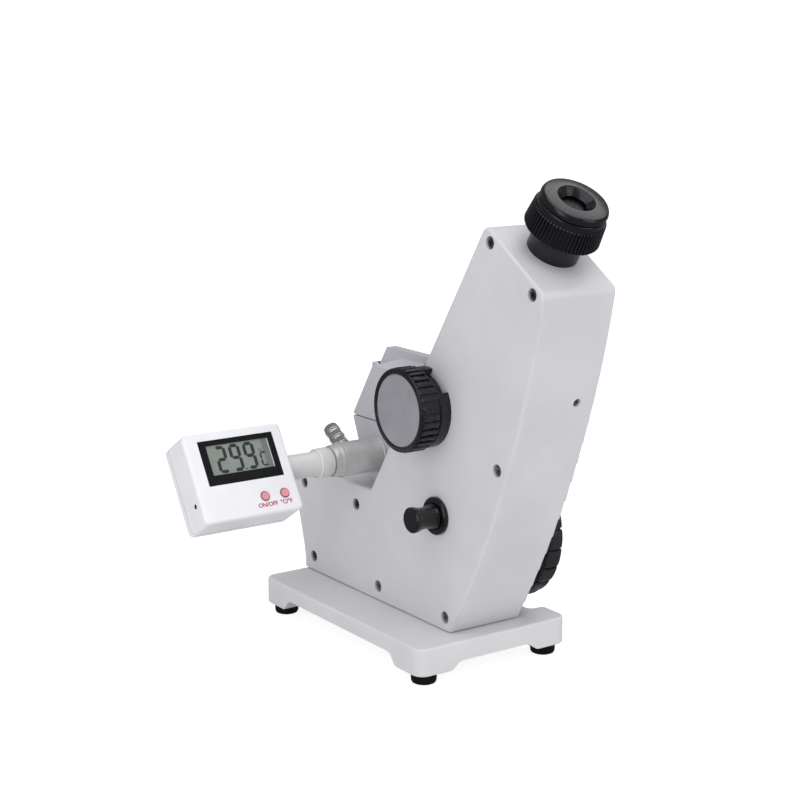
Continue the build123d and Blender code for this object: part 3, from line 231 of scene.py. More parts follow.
def print_and_painted_light(name, code):
    """Flat colour with slightly broken coverage: screen-printed ink, or painted shade and
    highlight.
    """
    material, tree, shader, place = surface(name, code, 0.55, IOR=1.45)
    speck = add(tree, "ShaderNodeTexNoise", {"Vector": place}, {"Scale": per_metre(0.35)})
    textured(tree, shader, speck, 0.004, 0.5, (0.45, 0.65))
    return material


# Sprayed enamel on cast metal, pale grey on the housing, a little whiter on the base, darker
# and shinier on the prism seats, their darker tone a painted shade of their side faces, and dark
# grey on the sheet metal of the light shield
housing_enamel = enamel("housing_enamel", "C4C3C7", "CAC9CD", 0.42)
base_enamel = enamel("base_enamel", "CACACC", "D1D1D3", 0.45)
shaded_seat_enamel = enamel("shaded_seat_enamel", "ACABB2", "B5B4BB", 0.38)
shield_enamel = enamel("shield_enamel", "3A3A3E", "444448", 0.5)

# Black ABS: shiny knobs, a charcoal wheel with softer highlights, an eyepiece with a hint of
# violet and a bezel that reflects little. Dull moulded rubber, matt anodised aluminium, and an
# eye lens drawn opaque, smooth and near-black, as painted shade for the dark tube behind it.
knob_plastic = moulded_plastic("knob_plastic", "09090D", "0F0F14", 0.24, 0.8, 0.0008, gloss=0.46)
wheel_plastic = moulded_plastic("wheel_plastic", "1E1D22", "27262B", 0.4, 0.8, 0.003)
eyepiece_plastic = moulded_plastic("eyepiece_plastic", "0E0C13", "15131A", 0.2, 0.8, 0.0008,
                                   gloss=0.42)
bezel_plastic = moulded_plastic("bezel_plastic", "08090A", "0C0D0E", 0.3, 0.7, 0.001, gloss=0.25)
foot_rubber = moulded_plastic("foot_rubber", "060607", "0B0B0C", 0.6, 0.6, 0.01, gloss=0.25)
black_anodised = moulded_plastic("black_anodised", "161618", "1E1E21", 0.5, 0.3, 0.006)
eye_lens_shade = moulded_plastic("eye_lens_shade", "0A090D", "0E0D11", 0.3, 3.0, 0.0002, gloss=0.12)

# Display head: a near-white ABS shell with a slight gloss, a duller stem, rubbery rose buttons,
# a grey-green display with dark segments, painted shade and a painted highlight at the glass's
# right edge, words printed in pink, painted shade in the gaps, and a green fibre-glass board
# inside
case_plastic = moulded_plastic("case_plastic", "DEDEE2", "E2E2E6", 0.34, 0.9, 0.001, coat=0.1)
stem_plastic = moulded_plastic("stem_plastic", "C6C6C5", "CDCDCC", 0.42, 0.8, 0.003)
button_plastic = moulded_plastic("button_plastic", "D2808C", "DE95A0", 0.45, 0.5, 0.008)
lcd_film = moulded_plastic("lcd_film", "798079", "828981", 0.3, 2.5, 0.0003, coat=0.2)
lcd_segment = print_and_painted_light("lcd_segment", "242A31")
# Painted shade and a painted highlight for the glass's right edge
lcd_shade = print_and_painted_light("lcd_shade", "6A706D")
lcd_edge_highlight = print_and_painted_light("lcd_edge_highlight", "D0D2D0")
pink_ink = print_and_painted_light("pink_ink", "B2305A")
# Painted shade along the shell's seam
gap_shade = print_and_painted_light("gap_shade", "8E8A90")
# Painted shade in the clearance round each button
button_gap = print_and_painted_light("button_gap", "6A4A56")
board_laminate = moulded_plastic("board_laminate", "1C5A34", "226A3E", 0.5, 0.6, 0.02)

# Metal: a satin grey aluminium disc, a fine turned aluminium seat, bright chrome, dark screws,
# ground steel shafts, yellow brass, silvered glass that mirrors cleanly, and a nickel-plated cell
disc_metal = turned_metal("disc_metal", "9F9EA4", "A5A4AA", 0.5, (4.0, 1.0, 1.0), 0.5, 0.4)
seat_metal = turned_metal("seat_metal", "B9B9B8", "C4C4C3", 0.4, (1.0, 0.04, 0.04), 0.35, 0.45)
nipple_chrome = turned_metal("nipple_chrome", "D2D2D4", "E2E2E4", 0.1, (0.3, 0.3, 1.0), 0.9)
screw_steel = turned_metal("screw_steel", "606064", "96969A", 0.26, (1.0, 1.0, 1.0), 0.6)
shaft_steel = turned_metal("shaft_steel", "8C8D92", "A0A1A6", 0.3, (1.0, 0.05, 0.05), 0.4)
bush_brass = turned_metal("bush_brass", "A8873F", "BC9A4D", 0.3, (1.0, 0.05, 0.05), 0.4)
front_mirror = turned_metal("front_mirror", "D8DADC", "E0E2E4", 0.06, (1.0, 1.0, 1.0), 4.0)
cell_steel = turned_metal("cell_steel", "A4A4A6", "B4B4B6", 0.25, (1.0, 1.0, 1.0), 0.8)

# Polished optical glass, with a faint green tint in the lenses and a deeper one in the prisms
lens_glass = polished_glass("lens_glass", "E4F0EE")
prism_glass = polished_glass("prism_glass", "DDEBE8")

node_finish = {
    "base_casting": base_enamel, "base_feet": foot_rubber, "base_screws": screw_steel,
    "housing_casting": housing_enamel, "cover_plate": housing_enamel, "cover_screws": screw_steel,
    "telescope_tube": black_anodised, "compensator_barrel": black_anodised,
    "lower_amici_cell": black_anodised, "upper_amici_cell": black_anodised,
    "mirror_holder": black_anodised, "lock_hook": screw_steel,
    "objective_lens": lens_glass, "reticle_plate": lens_glass, "eye_lens": eye_lens_shade,
    "field_lens": lens_glass, "scale_dial": lens_glass, "condenser_lens": lens_glass,
    "lower_amici_prism": prism_glass, "upper_amici_prism": prism_glass,
    "refracting_prism": prism_glass, "entering_prism": prism_glass,
    "eyepiece_neck": eyepiece_plastic, "eyepiece_ring": eyepiece_plastic,
    "eyepiece_cap": eyepiece_plastic, "dispersion_knob": knob_plastic,
    "dispersion_shroud": knob_plastic, "index_handwheel": wheel_plastic,
    "condenser_flange": knob_plastic, "condenser_knob": knob_plastic, "lock_knob": knob_plastic,
    # The dispersion scale ring takes the black knob plastic as painted shade, so that it reads
    # dark in the notch behind the knob
    "knob_disc": disc_metal, "dispersion_scale_ring": knob_plastic, "thermometer_seat": seat_metal,
    "gland_nut": seat_metal, "dispersion_shaft": shaft_steel, "index_shaft": shaft_steel,
    "hinge_pin": shaft_steel, "probe_stem": shaft_steel, "dispersion_bush": bush_brass,
    "index_bush": bush_brass, "calibration_screw": screw_steel, "swing_mirror": front_mirror,
    "reflector_flap": front_mirror, "light_shield": shield_enamel, "seat_nipples": nipple_chrome,
    "upper_connectors": nipple_chrome, "display_case_front": case_plastic,
    "display_case_back": case_plastic, "stem_tube": stem_plastic, "probe_ferrule": stem_plastic,
    "display_bezel": bezel_plastic, "lcd_panel": lcd_film, "circuit_board": board_laminate,
    "button_cell": cell_steel, "power_button": button_plastic, "unit_button": button_plastic,
    "prism_mount": shaded_seat_enamel, "refracting_prism_seat": shaded_seat_enamel,
    "entering_prism_seat": shaded_seat_enamel,
}
for node, finish in node_finish.items():
    mesh = frame["nodes"][node].data
    mesh.materials.clear()
    mesh.materials.append(finish)


# Mesh helpers

def stand(origin, normal, across):
    """Matrix whose Z runs along a normal and whose X runs as nearly as it can along across."""
    z = Vector(normal).normalized()
    y = z.cross(Vector(across)).normalized()
    x = y.cross(z)
    matrix = Matrix((x, y, z)).transposed().to_4x4()
    matrix.translation = origin
    return matrix


def linked(name, data):
    """Put an object that shows this data into the scene."""
    thing = bpy.data.objects.new(name, data)
    bpy.context.scene.collection.objects.link(thing)
    return thing


def mesh_object(name, work):
    """Turn a bmesh into an object of the scene."""
    mesh = bpy.data.meshes.new(name)
    work.to_mesh(mesh)
    work.free()
    return linked(name, mesh)


def finish_mesh(name, work, matrix, material, bend=SMOOTH_BEND):
    """Turn a bmesh drawn in millimetres into a finished piece at its place."""
    bmesh.ops.remove_doubles(work, verts=work.verts, dist=WELD)
    bmesh.ops.recalc_face_normals(work, faces=work.faces)
    for edge in work.edges:
        edge.smooth = edge.is_manifold and edge.calc_face_angle(0.0) < math.radians(bend)
    for face in work.faces:
        face.smooth = True
    work.transform(Matrix.Diagonal((MM, MM, MM, 1.0)))
    work.transform(matrix)
    piece = mesh_object(name, work)
    piece.data.materials.append(material)
    return piece


def polar(radius, angle, along):
    """Place at this radius and angle round Z."""
    return (radius * math.cos(angle), radius * math.sin(angle), along)


def walls(work, rows):
    """Face the sides of a stack of closed outlines."""
    for low, high in zip(rows, rows[1:]):
        for i in range(len(low)):
            j = (i + 1) % len(low)
            work.faces.new((low[i], low[j], high[j], high[i]))


def solid(work, rows):
    """Face a stack of closed outlines, its two ends included."""
    walls(work, rows)
    work.faces.new(list(reversed(rows[0])))
    work.faces.new(rows[-1])


def rounded(points, radius):
    """Round every inner corner of an open half section of (radius, along) points."""
    parts = 3
    result = [points[0]]
    for before, corner, after in zip(points, points[1:], points[2:]):
        a = Vector(before) - Vector(corner)
        b = Vector(after) - Vector(corner)
        reach = min(radius, a.length * 0.45, b.length * 0.45)
        start = Vector(corner) + a.normalized() * reach
        end = Vector(corner) + b.normalized() * reach
        for i in range(parts + 1):
            t = i / parts
            point = start * (1 - t) ** 2 + Vector(corner) * 2 * t * (1 - t) + end * t ** 2
            result.append((point.x, point.y))
    result.append(points[-1])
    return result


def lathe(work, profile, steps=128, turn=(0.0, 360.0)):
    """Spin a half section round Z. Ends on the axis are closed; a full loop closes itself."""
    whole = turn[1] - turn[0] >= 360.0
    count = steps if whole else steps + 1
    on_axis = 1e-6
    rings = []
    for radius, along in profile:
        if radius < on_axis:
            rings.append([work.verts.new((0, 0, along))] * count)
            continue
        ring = []
        for i in range(count):
            angle = math.radians(turn[0] + (turn[1] - turn[0]) * i / steps)
            ring.append(work.verts.new(polar(radius, angle, along)))
        rings.append(ring)
    pairs = list(zip(rings, rings[1:]))
    if profile[0][0] > on_axis or profile[-1][0] > on_axis:
        pairs.append((rings[-1], rings[0]))
    for low, high in pairs:
        for i in range(steps):
            j = (i + 1) % count
            corners = []
            for vert in (low[i], low[j], high[j], high[i]):
                if vert not in corners:
                    corners.append(vert)
            if len(corners) > 2:
                work.faces.new(corners)
    if not whole:
        work.faces.new([ring[0] for ring in rings])
        work.faces.new([ring[-1] for ring in reversed(rings)])


def turned_piece(name, profile, matrix, material, steps=128, corner=0.0, turn=(0.0, 360.0)):
    """A finished piece spun from a half section, its corners rounded on request."""
    work = bmesh.new()
    lathe(work, rounded(profile, corner) if corner else profile, steps, turn)
    return finish_mesh(name, work, matrix, material)


def bar(length, width, height, taper):
    """A small ridge along Z with a rounded back, standing on local X."""
    work = bmesh.new()
    half = width / 2
    section = [(0, -half), (height * 0.7, -half * 0.86), (height, -half * 0.45),
               (height, half * 0.45), (height * 0.7, half * 0.86), (0, half)]
    levels = [(0.0, 0.35), (taper, 1.0), (length - taper, 1.0), (length, 0.35)]
    solid(work, [[work.verts.new((x * share, y, along)) for x, y in section]
                 for along, share in levels])
    return work


def ring_tree(material):
    """Geometry nodes that repeat one shape evenly round the Z axis."""
    tree = bpy.data.node_groups.new("ring_of_copies", "GeometryNodeTree")
    face = tree.interface
    face.new_socket("Shape", in_out="INPUT", socket_type="NodeSocketGeometry")
    face.new_socket("Count", in_out="INPUT", socket_type="NodeSocketInt")
    face.new_socket("Whole Turn", in_out="INPUT", socket_type="NodeSocketFloat")
    face.new_socket("Ring", in_out="OUTPUT", socket_type="NodeSocketGeometry")
    inputs = add(tree, "NodeGroupInput")
    points = add(tree, "GeometryNodePoints", {"Count": inputs.outputs["Count"]})
    index = add(tree, "GeometryNodeInputIndex")
    share = add(tree, "ShaderNodeMath",
                {0: index.outputs["Index"], 1: inputs.outputs["Count"]}, operation="DIVIDE")
    angle = add(tree, "ShaderNodeMath",
                {0: share.outputs[0], 1: inputs.outputs["Whole Turn"]}, operation="MULTIPLY")
    turn = add(tree, "ShaderNodeCombineXYZ", {"Z": angle.outputs[0]})
    copies = add(tree, "GeometryNodeInstanceOnPoints",
                 {"Points": points.outputs["Points"], "Instance": inputs.outputs["Shape"],
                  "Rotation": turn.outputs["Vector"]})
    real = add(tree, "GeometryNodeRealizeInstances", {"Geometry": copies.outputs["Instances"]})
    paint = add(tree, "GeometryNodeSetMaterial", {"Geometry": real.outputs["Geometry"]},
                {"Material": material})
    add(tree, "NodeGroupOutput", {"Ring": paint.outputs["Geometry"]})
    return tree


def run_tree(carrier, tree, values):
    """Rebuild a carrier by a node tree whose named inputs get these values, as a bmesh."""
    modifier = carrier.modifiers.new("copies", "NODES")
    modifier.node_group = tree
    for item in tree.interface.items_tree:
        if item.name in values:
            modifier[item.identifier] = values[item.name]
    depsgraph = bpy.context.evaluated_depsgraph_get()
    made = bpy.data.meshes.new_from_object(carrier.evaluated_get(depsgraph))
    work = bmesh.new()
    work.from_mesh(made)
    bpy.data.objects.remove(carrier)
    bpy.data.meshes.remove(made)
    return work


def ring_of(name, shape, count, matrix, material):
    """Repeat a shape, drawn in millimetres, all round an axis, as one plain mesh."""
    values = {"Count": count, "Whole Turn": math.tau}
    work = run_tree(mesh_object(name, shape), ring_tree(material), values)
    return finish_mesh(name, work, matrix, material)


def joined(name, pieces):
    """Join finished pieces into one mesh, keeping each one's material."""
    work = bmesh.new()
    materials = []
    for piece in pieces:
        part = bmesh.new()
        part.from_mesh(piece.data)
        material = piece.data.materials[0]
        if material not in materials:
            materials.append(material)
        for face in part.faces:
            face.material_index = materials.index(material)
        mesh = bpy.data.meshes.new("part")
        part.to_mesh(mesh)
        part.free()
        work.from_mesh(mesh)
        bpy.data.meshes.remove(mesh)
        bpy.data.objects.remove(piece)
    whole = mesh_object(name, work)
    for material in materials:
        whole.data.materials.append(material)
    return whole


def stand_for(piece, body, *nodes, slot):
    """Let a piece stand for CAD nodes on their body."""
    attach(piece, body)
    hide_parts(*nodes)


def ride_with(piece, body):
    """Let a piece that stands for no CAD node move with a body."""
    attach(piece, body)


def box_mm(node):
    """Lowest and highest corners of a CAD node, in millimetres."""
    low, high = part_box(node)
    return low / MM, high / MM


def radius_of(node, axis=1):
    """Radius of a round CAD node in millimetres, from its breadth along Y or another axis."""
    low, high = box_mm(node)
    return (high[axis] - low[axis]) / 2


def cross_axis(joint, x_mm):
    """Place on the axis of a joint that turns about X, at this X."""
    spot = Vector(joints[joint]["pos_m"])
    return Vector((x_mm * MM, spot.y, spot.z))


# Eyepiece

scope_axis = Vector(joints["eyepiece_focus"]["axis"])
scope_spot = Vector(joints["eyepiece_focus"]["pos_m"])


def scope_span(node):
    """Lowest and highest reach of a node along the telescope axis, in millimetres."""
    vertices = frame["nodes"][node].data.vertices
    reach = [(vert.co - scope_spot).dot(scope_axis) / MM for vert in vertices]
    return min(reach), max(reach)


scope_place = stand(scope_spot, scope_axis, RIGHT)


def eyepiece():
    """The ribbed focusing ring and the eye cap with its funnel."""
    ring_low = scope_span("eyepiece_ring")[0]
    cap_low, cap_high = scope_span("eyepiece_cap")
    knurl_low = cap_low - 14.7
    spigot = 11.65
    barrel = 8.6
    shoulder = 13.65
    lean = 1.3 / 14.6
    grip = 11.3
    ridge_height = 0.85
    foot = radius_of("eyepiece_ring", 0) - SKIN - ridge_height
    neck = foot - lean * grip
    ring = turned_piece("eyepiece_ring_core", [
        (spigot, knurl_low + 0.05), (foot - 0.7, knurl_low + 0.05), (foot, knurl_low + 0.8),
        (neck, knurl_low + grip), (neck - 0.35, cap_low - 0.75), (neck - 0.75, cap_low - 0.3),
        (shoulder, cap_low - 0.15), (shoulder, cap_low + 0.55), (barrel, cap_low + 0.55),
        (barrel, ring_low + 0.05), (barrel + 1.45, ring_low + 0.05),
        (barrel + 1.45, knurl_low + 6.6), (spigot, knurl_low + 6.6)],
        scope_place, eyepiece_plastic, corner=0.25)
    ridge = bar(grip - 0.5, width=1.2, height=ridge_height, taper=0.45)
    tilt = Matrix.Rotation(-math.atan(lean), 4, "Y")
    ridge.transform(Matrix.Translation((foot - 0.03, 0, knurl_low + 0.75)) @ tilt)
    knurl = ring_of("eyepiece_knurl", ridge, EYEPIECE_RIDGES, scope_place, eyepiece_plastic)
    stand_for(joined("eyepiece_focus_ring", [ring, knurl]), "eyepiece", "eyepiece_ring",
              slot="black_plastic")

    rim = radius_of("eyepiece_cap", 0) - SKIN
    top = cap_high - 0.6
    collar = 13.7
    pupil = 5.5
    inside = cap_low + 0.66
    cap = turned_piece("eyepiece_eye_cap", [
        (collar, cap_low + SKIN), (rim - 0.75, cap_low + SKIN), (rim - 0.05, cap_low + 0.75),
        (rim - 0.02, cap_low + 1.5), (rim - 0.35, top - 0.9), (14.9, top - 0.1),
        (9.3, cap_high - 0.12), (8.6, cap_high - 0.3), (pupil, cap_low + 0.95), (pupil, inside),
        (collar, inside)], scope_place, eyepiece_plastic, corner=0.35)
    stand_for(cap, "eyepiece", "eyepiece_cap", slot="black_plastic")


eyepiece()


# Dispersion handwheel

def dispersion_handwheel():
    """The black wheel with broad ribs round it and the grey disc in its face."""
    low, high = box_mm("dispersion_knob")
    depth = high.x - low.x
    rim = radius_of("dispersion_knob")
    bore = rim - DISPERSION_WALL + 2 * SKIN
    shaft = 3.05
    hub = 6.9
    web = depth - 5.1
    disc_low, disc_high = box_mm("knob_disc")
    disc_rim = radius_of("knob_disc")
    disc_back = depth - (disc_low.x - low.x) - 0.85
    place = stand(cross_axis("dispersion_turn", high.x), LEFT, REAR)
    core = turned_piece("dispersion_knob_core", [
        (shaft, 0.1), (hub, 0.1), (hub, web), (bore, web), (bore, 0.05),
        (rim - 1.1, 0.05), (rim - 1.05, depth - 1.5), (rim - 0.25, depth - 0.7),
        (rim - 0.75, depth - SKIN), (disc_rim + 0.45, depth - SKIN),
        (disc_rim + 0.05, depth - 0.35), (disc_rim + 0.05, disc_back), (shaft, disc_back)],
        place, knob_plastic, corner=0.25)
    ridge = bar(depth - 1.1, width=2.3, height=1.05, taper=0.7)
    ridge.transform(Matrix.Translation((rim - 1.12, 0, 0.15)))
    ribs = ring_of("dispersion_ribs", ridge, DISPERSION_RIBS, place, knob_plastic)
    stand_for(joined("dispersion_grip", [core, ribs]), "dispersion_wheel", "dispersion_knob",
              slot="black_plastic")
    front = disc_high.x - low.x - 0.35
    disc = turned_piece("dispersion_face_disc", [
        (0.0, 0.0), (disc_rim - SKIN, 0.0), (disc_rim - SKIN, front - 0.1),
        (disc_rim - 0.15, front), (0.0, front)],
        stand(cross_axis("dispersion_turn", disc_high.x), LEFT, REAR), disc_metal)
    stand_for(disc, "dispersion_wheel", "knob_disc", slot="disc_grey")


dispersion_handwheel()


def dispersion_guard():
    """The fixed shroud, open over the window that shows the scale."""
    low, high = box_mm("dispersion_shroud")
    depth = high.x - low.x
    rim = radius_of("dispersion_shroud") - SKIN
    inner = rim - SHROUD_WALL + 2 * SKIN
    # The window opens between these degrees above the operator's side. Turned angles run from
    # the rear downwards, because the stand's Y points down.
    window_low, window_high = 30, 77
    guard = turned_piece("dispersion_shroud_ring", [
        (inner, SKIN), (rim, SKIN), (rim, depth - 0.5), (rim - 0.38, depth - SKIN),
        (inner, depth - SKIN)], stand(cross_axis("dispersion_turn", high.x), LEFT, REAR),
        knob_plastic, turn=(window_high - 180, 180 + window_low))
    stand_for(guard, "frame", "dispersion_shroud", slot="black_plastic")


dispersion_guard()


# Index handwheel

def index_wheel():
    """The big wheel: a dished core with rounded grips round its rim."""
    low, high = box_mm("index_handwheel")
    depth = high.x - low.x
    rim = radius_of("index_handwheel") - SKIN
    shaft = 3.0
    dish = depth - 3.15
    boss = depth - 0.8
    place = stand(cross_axis("index_turn", low.x), RIGHT, REAR)
    core = turned_piece("index_core", [
        (shaft, SKIN), (rim - 2.6, SKIN), (rim - 1.3, 1.2), (rim - 1.3, depth - 2.0),
        (rim - 2.4, depth - 0.5), (rim - 3.2, depth - SKIN), (rim - 6.4, depth - SKIN),
        (rim - 7.9, dish), (10.2, dish), (9.0, boss), (shaft, boss)],
        place, wheel_plastic, steps=160, corner=0.5)
    lobe = bmesh.new()
    half = math.pi / INDEX_GRIPS * 0.88
    root = rim - 2.2
    levels = [(0.1, 0.9), (0.8, 0.2), (1.8, 0.0), (depth - 2.6, 0.0), (depth - 1.2, 0.35),
              (depth - 0.3, 1.3)]
    rows = []
    for along, inset in levels:
        outline = []
        for i in range(9):
            share = i / 4 - 1
            radius = rim - inset - 0.3 * abs(share) ** 4
            outline.append(polar(radius, half * share, along))
        outline += [polar(root, half, along), polar(root, -half, along)]
        rows.append([lobe.verts.new(spot) for spot in outline])
    solid(lobe, rows)
    grips = ring_of("index_grips", lobe, INDEX_GRIPS, place, wheel_plastic)
    stand_for(joined("index_grip_wheel", [core, grips]), "index_wheel", "index_handwheel",
              slot="black_plastic")


index_wheel()


# Condenser knob and its flange

def condenser():
    """The flange on the cover plate and the waisted knob in it."""
    rim = radius_of("condenser_flange") - SKIN
    wall_x = box_mm("cover_plate")[0].x
    place = stand(cross_axis("condenser_turn", wall_x), LEFT, REAR)
    thick = wall_x - box_mm("condenser_flange")[0].x - SKIN
    bore = 4.1
    spigot = 5.4
    spigot_end = -6.0
    flange = turned_piece("condenser_collar", [
        (bore, spigot_end), (spigot, spigot_end), (spigot, SKIN), (rim, SKIN), (rim, thick - 0.6),
        (rim - 0.7, thick), (6.9, thick), (6.6, thick - 0.45), (bore, thick - 0.45)],
        place, knob_plastic, corner=0.25)
    stand_for(flange, "frame", "condenser_flange", slot="black_plastic")
    low, high = box_mm("condenser_knob")
    head = radius_of("condenser_knob") - SKIN
    shank = 3.95
    front = wall_x - low.x
    back = wall_x - high.x + 0.1
    waist_high = front - 2.3
    waist_low = 2.8
    waist_depth = 1.0
    profile = [(0.0, front - SKIN), (head - 0.5, front - SKIN), (head, front - 0.5),
               (head, waist_high)]
    for i in range(1, 12):
        share = i / 12
        profile.append((head - waist_depth * math.sin(math.pi * share) ** 0.8,
                        waist_high - (waist_high - waist_low) * share))
    profile += [(head, waist_low), (shank, waist_low), (shank, back), (0.0, back)]
    knob = turned_piece("condenser_finger_knob", profile, place, knob_plastic, steps=96)
    stand_for(knob, "condenser", "condenser_knob", slot="black_plastic")


condenser()


# Thermometer seat, nut, ferrule and stem tube

def thermometer_line():
    """The satin seat and nut, and the white ferrule and tube that turn in them."""
    low, high = box_mm("thermometer_seat")
    rim = radius_of("thermometer_seat") - SKIN
    length = high.x - low.x
    place = stand(cross_axis("thermometer_turn", high.x), LEFT, REAR)
    bore = 2.3
    seat = turned_piece("thermometer_barrel", [
        (bore, 0.0), (rim, 0.0), (rim, 1.1), (rim - 0.6, 1.4), (rim - 0.62, 5.6),
        (rim - 0.75, 5.7), (rim - 0.62, 5.8), (rim - 0.6, length - 1.4),
        (rim - 0.25, length - 1.1), (rim - 0.25, length - 0.05), (bore, length - 0.05)],
        place, seat_metal, corner=0.18)
    stand_for(seat, "frame", "thermometer_seat", slot="satin_metal")

    def reach(node):
        """Where a node starts and ends along the seat, in millimetres."""
        node_low, node_high = box_mm(node)
        return high.x - node_high.x, high.x - node_low.x

    start, end = reach("gland_nut")
    nut = turned_piece("stem_gland", [
        (bore, start), (8.45, start), (8.3, start + 1.6), (8.1, start + 1.9), (8.05, end - 1.5),
        (7.7, end - 0.05), (bore, end - 0.05)], place, seat_metal, corner=0.2)
    stand_for(nut, "frame", "gland_nut", slot="satin_metal")
    bore = 2.25
    start, end = reach("probe_ferrule")
    core = turned_piece("ferrule_core", [
        (bore, start), (6.6, start), (7.1, start + 0.5), (7.1, start + 0.9), (7.25, start + 1.0),
        (7.25, end - 1.6), (7.45, end - 1.2), (7.45, end - 0.5), (6.9, end - SKIN),
        (bore, end - SKIN)], place, stem_plastic, corner=0.15)
    ridge = bar(end - start - 2.6, width=0.6, height=0.24, taper=0.25)
    ridge.transform(Matrix.Translation((7.2, 0, start + 1.0)))
    knurl = ring_of("ferrule_knurl", ridge, FERRULE_RIDGES, place, stem_plastic)
    stand_for(joined("stem_ferrule", [core, knurl]), "thermometer", "probe_ferrule",
              slot="white_plastic")
    rim = radius_of("stem_tube") - SKIN
    start, end = reach("stem_tube")
    tube = turned_piece("stem_sleeve", [(bore, start), (rim, start), (rim, end), (bore, end)],
                        place, stem_plastic)
    stand_for(tube, "thermometer", "stem_tube", slot="white_plastic")


thermometer_line()


# Hose nipples

def nipple(name, spot, along, across, root=0.0, reach=NIPPLE_LENGTH):
    """A barbed hose nipple, turned from its root to its tip."""
    bore = 1.95
    barb = 4.05
    neck = 3.25
    barbs = 3
    pitch = 4.8
    profile = [(bore, root), (barb, root), (barb, reach - barbs * pitch)]
    for i in range(barbs):
        low = reach - (barbs - i) * pitch
        profile += [(neck, low + 0.35), (neck, low + 0.75), (barb, low + 1.25),
                    (barb - 0.05, low + 1.7), (3.6, low + 4.5)]
    profile += [(3.1, reach - 0.05), (bore, reach - 0.05)]
    return turned_piece(name, profile, stand(spot, along, across), nipple_chrome, corner=0.15)


def nipples():
    """Two nipples on the lower seat, one square to the slope, and two on the upper seat."""
    slope_normal = Vector((0, math.cos(SLANT), math.sin(SLANT)))
    line = Vector(joints["thermometer_turn"]["pos_m"])
    outlet = nipple("outlet_barbs", Vector((base_middle.x - OUTLET_LEFT * MM, line.y, line.z)),
                    slope_normal, RIGHT, OUTLET_ROOT, OUTLET_REACH)
    seat_right = box_mm("refracting_prism_seat")[1].x * MM
    inlet = nipple("inlet_barbs", Vector((seat_right, line.y, line.z)), RIGHT, REAR)
    stand_for(joined("seat_hose_nipples", [outlet, inlet]), "frame", "seat_nipples",
              slot="nipple_chrome")
    low, high = box_mm("upper_connectors")
    pair = []
    for y, z in ((low.y + NIPPLE_RADIUS, low.z + NIPPLE_RADIUS),
                 (high.y - NIPPLE_RADIUS, high.z - NIPPLE_RADIUS)):
        spot = Vector((seat_right, y * MM, z * MM))
        pair.append(nipple("upper_barbs", spot, RIGHT, REAR))
    stand_for(joined("upper_hose_nipples", pair), "upper_seat", "upper_connectors",
              slot="nipple_chrome")


nipples()


# Feet

def feet():
    """Four rubber feet, each with the stud that holds it in the base."""
    low, high = box_mm("base_feet")
    stud = 2.45
    pads = []
    for x in (low.x + FOOT_RADIUS, high.x - FOOT_RADIUS):
        for y in (low.y + FOOT_RADIUS, high.y - FOOT_RADIUS):
            pads.append(turned_piece("pad", [
                (0.0, 0.0), (4.9, 0.0), (5.6, 0.35), (6.0, 1.1), (6.15, 2.4), (6.15, 3.85),
                (stud, 3.9), (stud, 9.3), (0.0, 9.3)],
                Matrix.Translation((x * MM, y * MM, 0)), foot_rubber, steps=64))
    stand_for(joined("rubber_feet", pads), "frame", "base_feet", slot="foot_rubber")


feet()


# Cover screws

def screw_shape():
    """Pan head with a cross recess; its top is at height zero."""
    work = bmesh.new()
    steps = 32
    levels = [(2.7, -SCREW_HEIGHT), (2.72, -0.55), (2.45, -0.2), (1.9, -0.02)]
    rings = [[work.verts.new(polar(radius, math.tau * i / steps, along)) for i in range(steps)]
             for radius, along in levels]
    walls(work, rings)
    work.faces.new(list(reversed(rings[0])))
    # Cross outline on the top, and the same outline narrower on the recess floor
    arm, half, narrowing, depth = 1.45, 0.34, 0.7, 0.95
    cross = []
    for quarter in range(4):
        turn = Matrix.Rotation(quarter * math.pi / 2, 3, "Z")
        for x, y in ((half, -half), (arm, -half), (arm, half)):
            cross.append(turn @ Vector((x, y, 0)))
    top = [work.verts.new((p.x, p.y, 0.0)) for p in cross]
    floor = [work.verts.new((p.x * narrowing, p.y * narrowing, -depth)) for p in cross]
    walls(work, [floor, top])
    work.faces.new(floor)
    edges = [work.edges.get((loop[i], loop[(i + 1) % len(loop)]))
             for loop in (rings[-1], top) for i in range(len(loop))]
    bmesh.ops.bridge_loops(work, edges=edges)
    return work


def scatter_tree(material):
    """Geometry nodes that set one shape on every point of a mesh, turned about its axis."""
    tree = bpy.data.node_groups.new("screws_on_points", "GeometryNodeTree")
    face = tree.interface
    face.new_socket("Points", in_out="INPUT", socket_type="NodeSocketGeometry")
    face.new_socket("Screw", in_out="INPUT", socket_type="NodeSocketObject")
    face.new_socket("Turn Seed", in_out="INPUT", socket_type="NodeSocketInt")
    face.new_socket("Screws", in_out="OUTPUT", socket_type="NodeSocketGeometry")
    inputs = add(tree, "NodeGroupInput")
    shape = add(tree, "GeometryNodeObjectInfo", {"Object": inputs.outputs["Screw"]})
    chance = add(tree, "FunctionNodeRandomValue", {"Seed": inputs.outputs["Turn Seed"]},
                 {2: 0.0, 3: math.pi / 2}, data_type="FLOAT")
    turn = add(tree, "ShaderNodeCombineXYZ", {"Z": chance.outputs[1]})
    copies = add(tree, "GeometryNodeInstanceOnPoints",
                 {"Points": inputs.outputs["Points"], "Instance": shape.outputs["Geometry"],
                  "Rotation": turn.outputs["Vector"]})
    real = add(tree, "GeometryNodeRealizeInstances", {"Geometry": copies.outputs["Instances"]})
    paint = add(tree, "GeometryNodeSetMaterial", {"Geometry": real.outputs["Geometry"]},
                {"Material": material})
    add(tree, "NodeGroupOutput", {"Screws": paint.outputs["Geometry"]})
    return tree


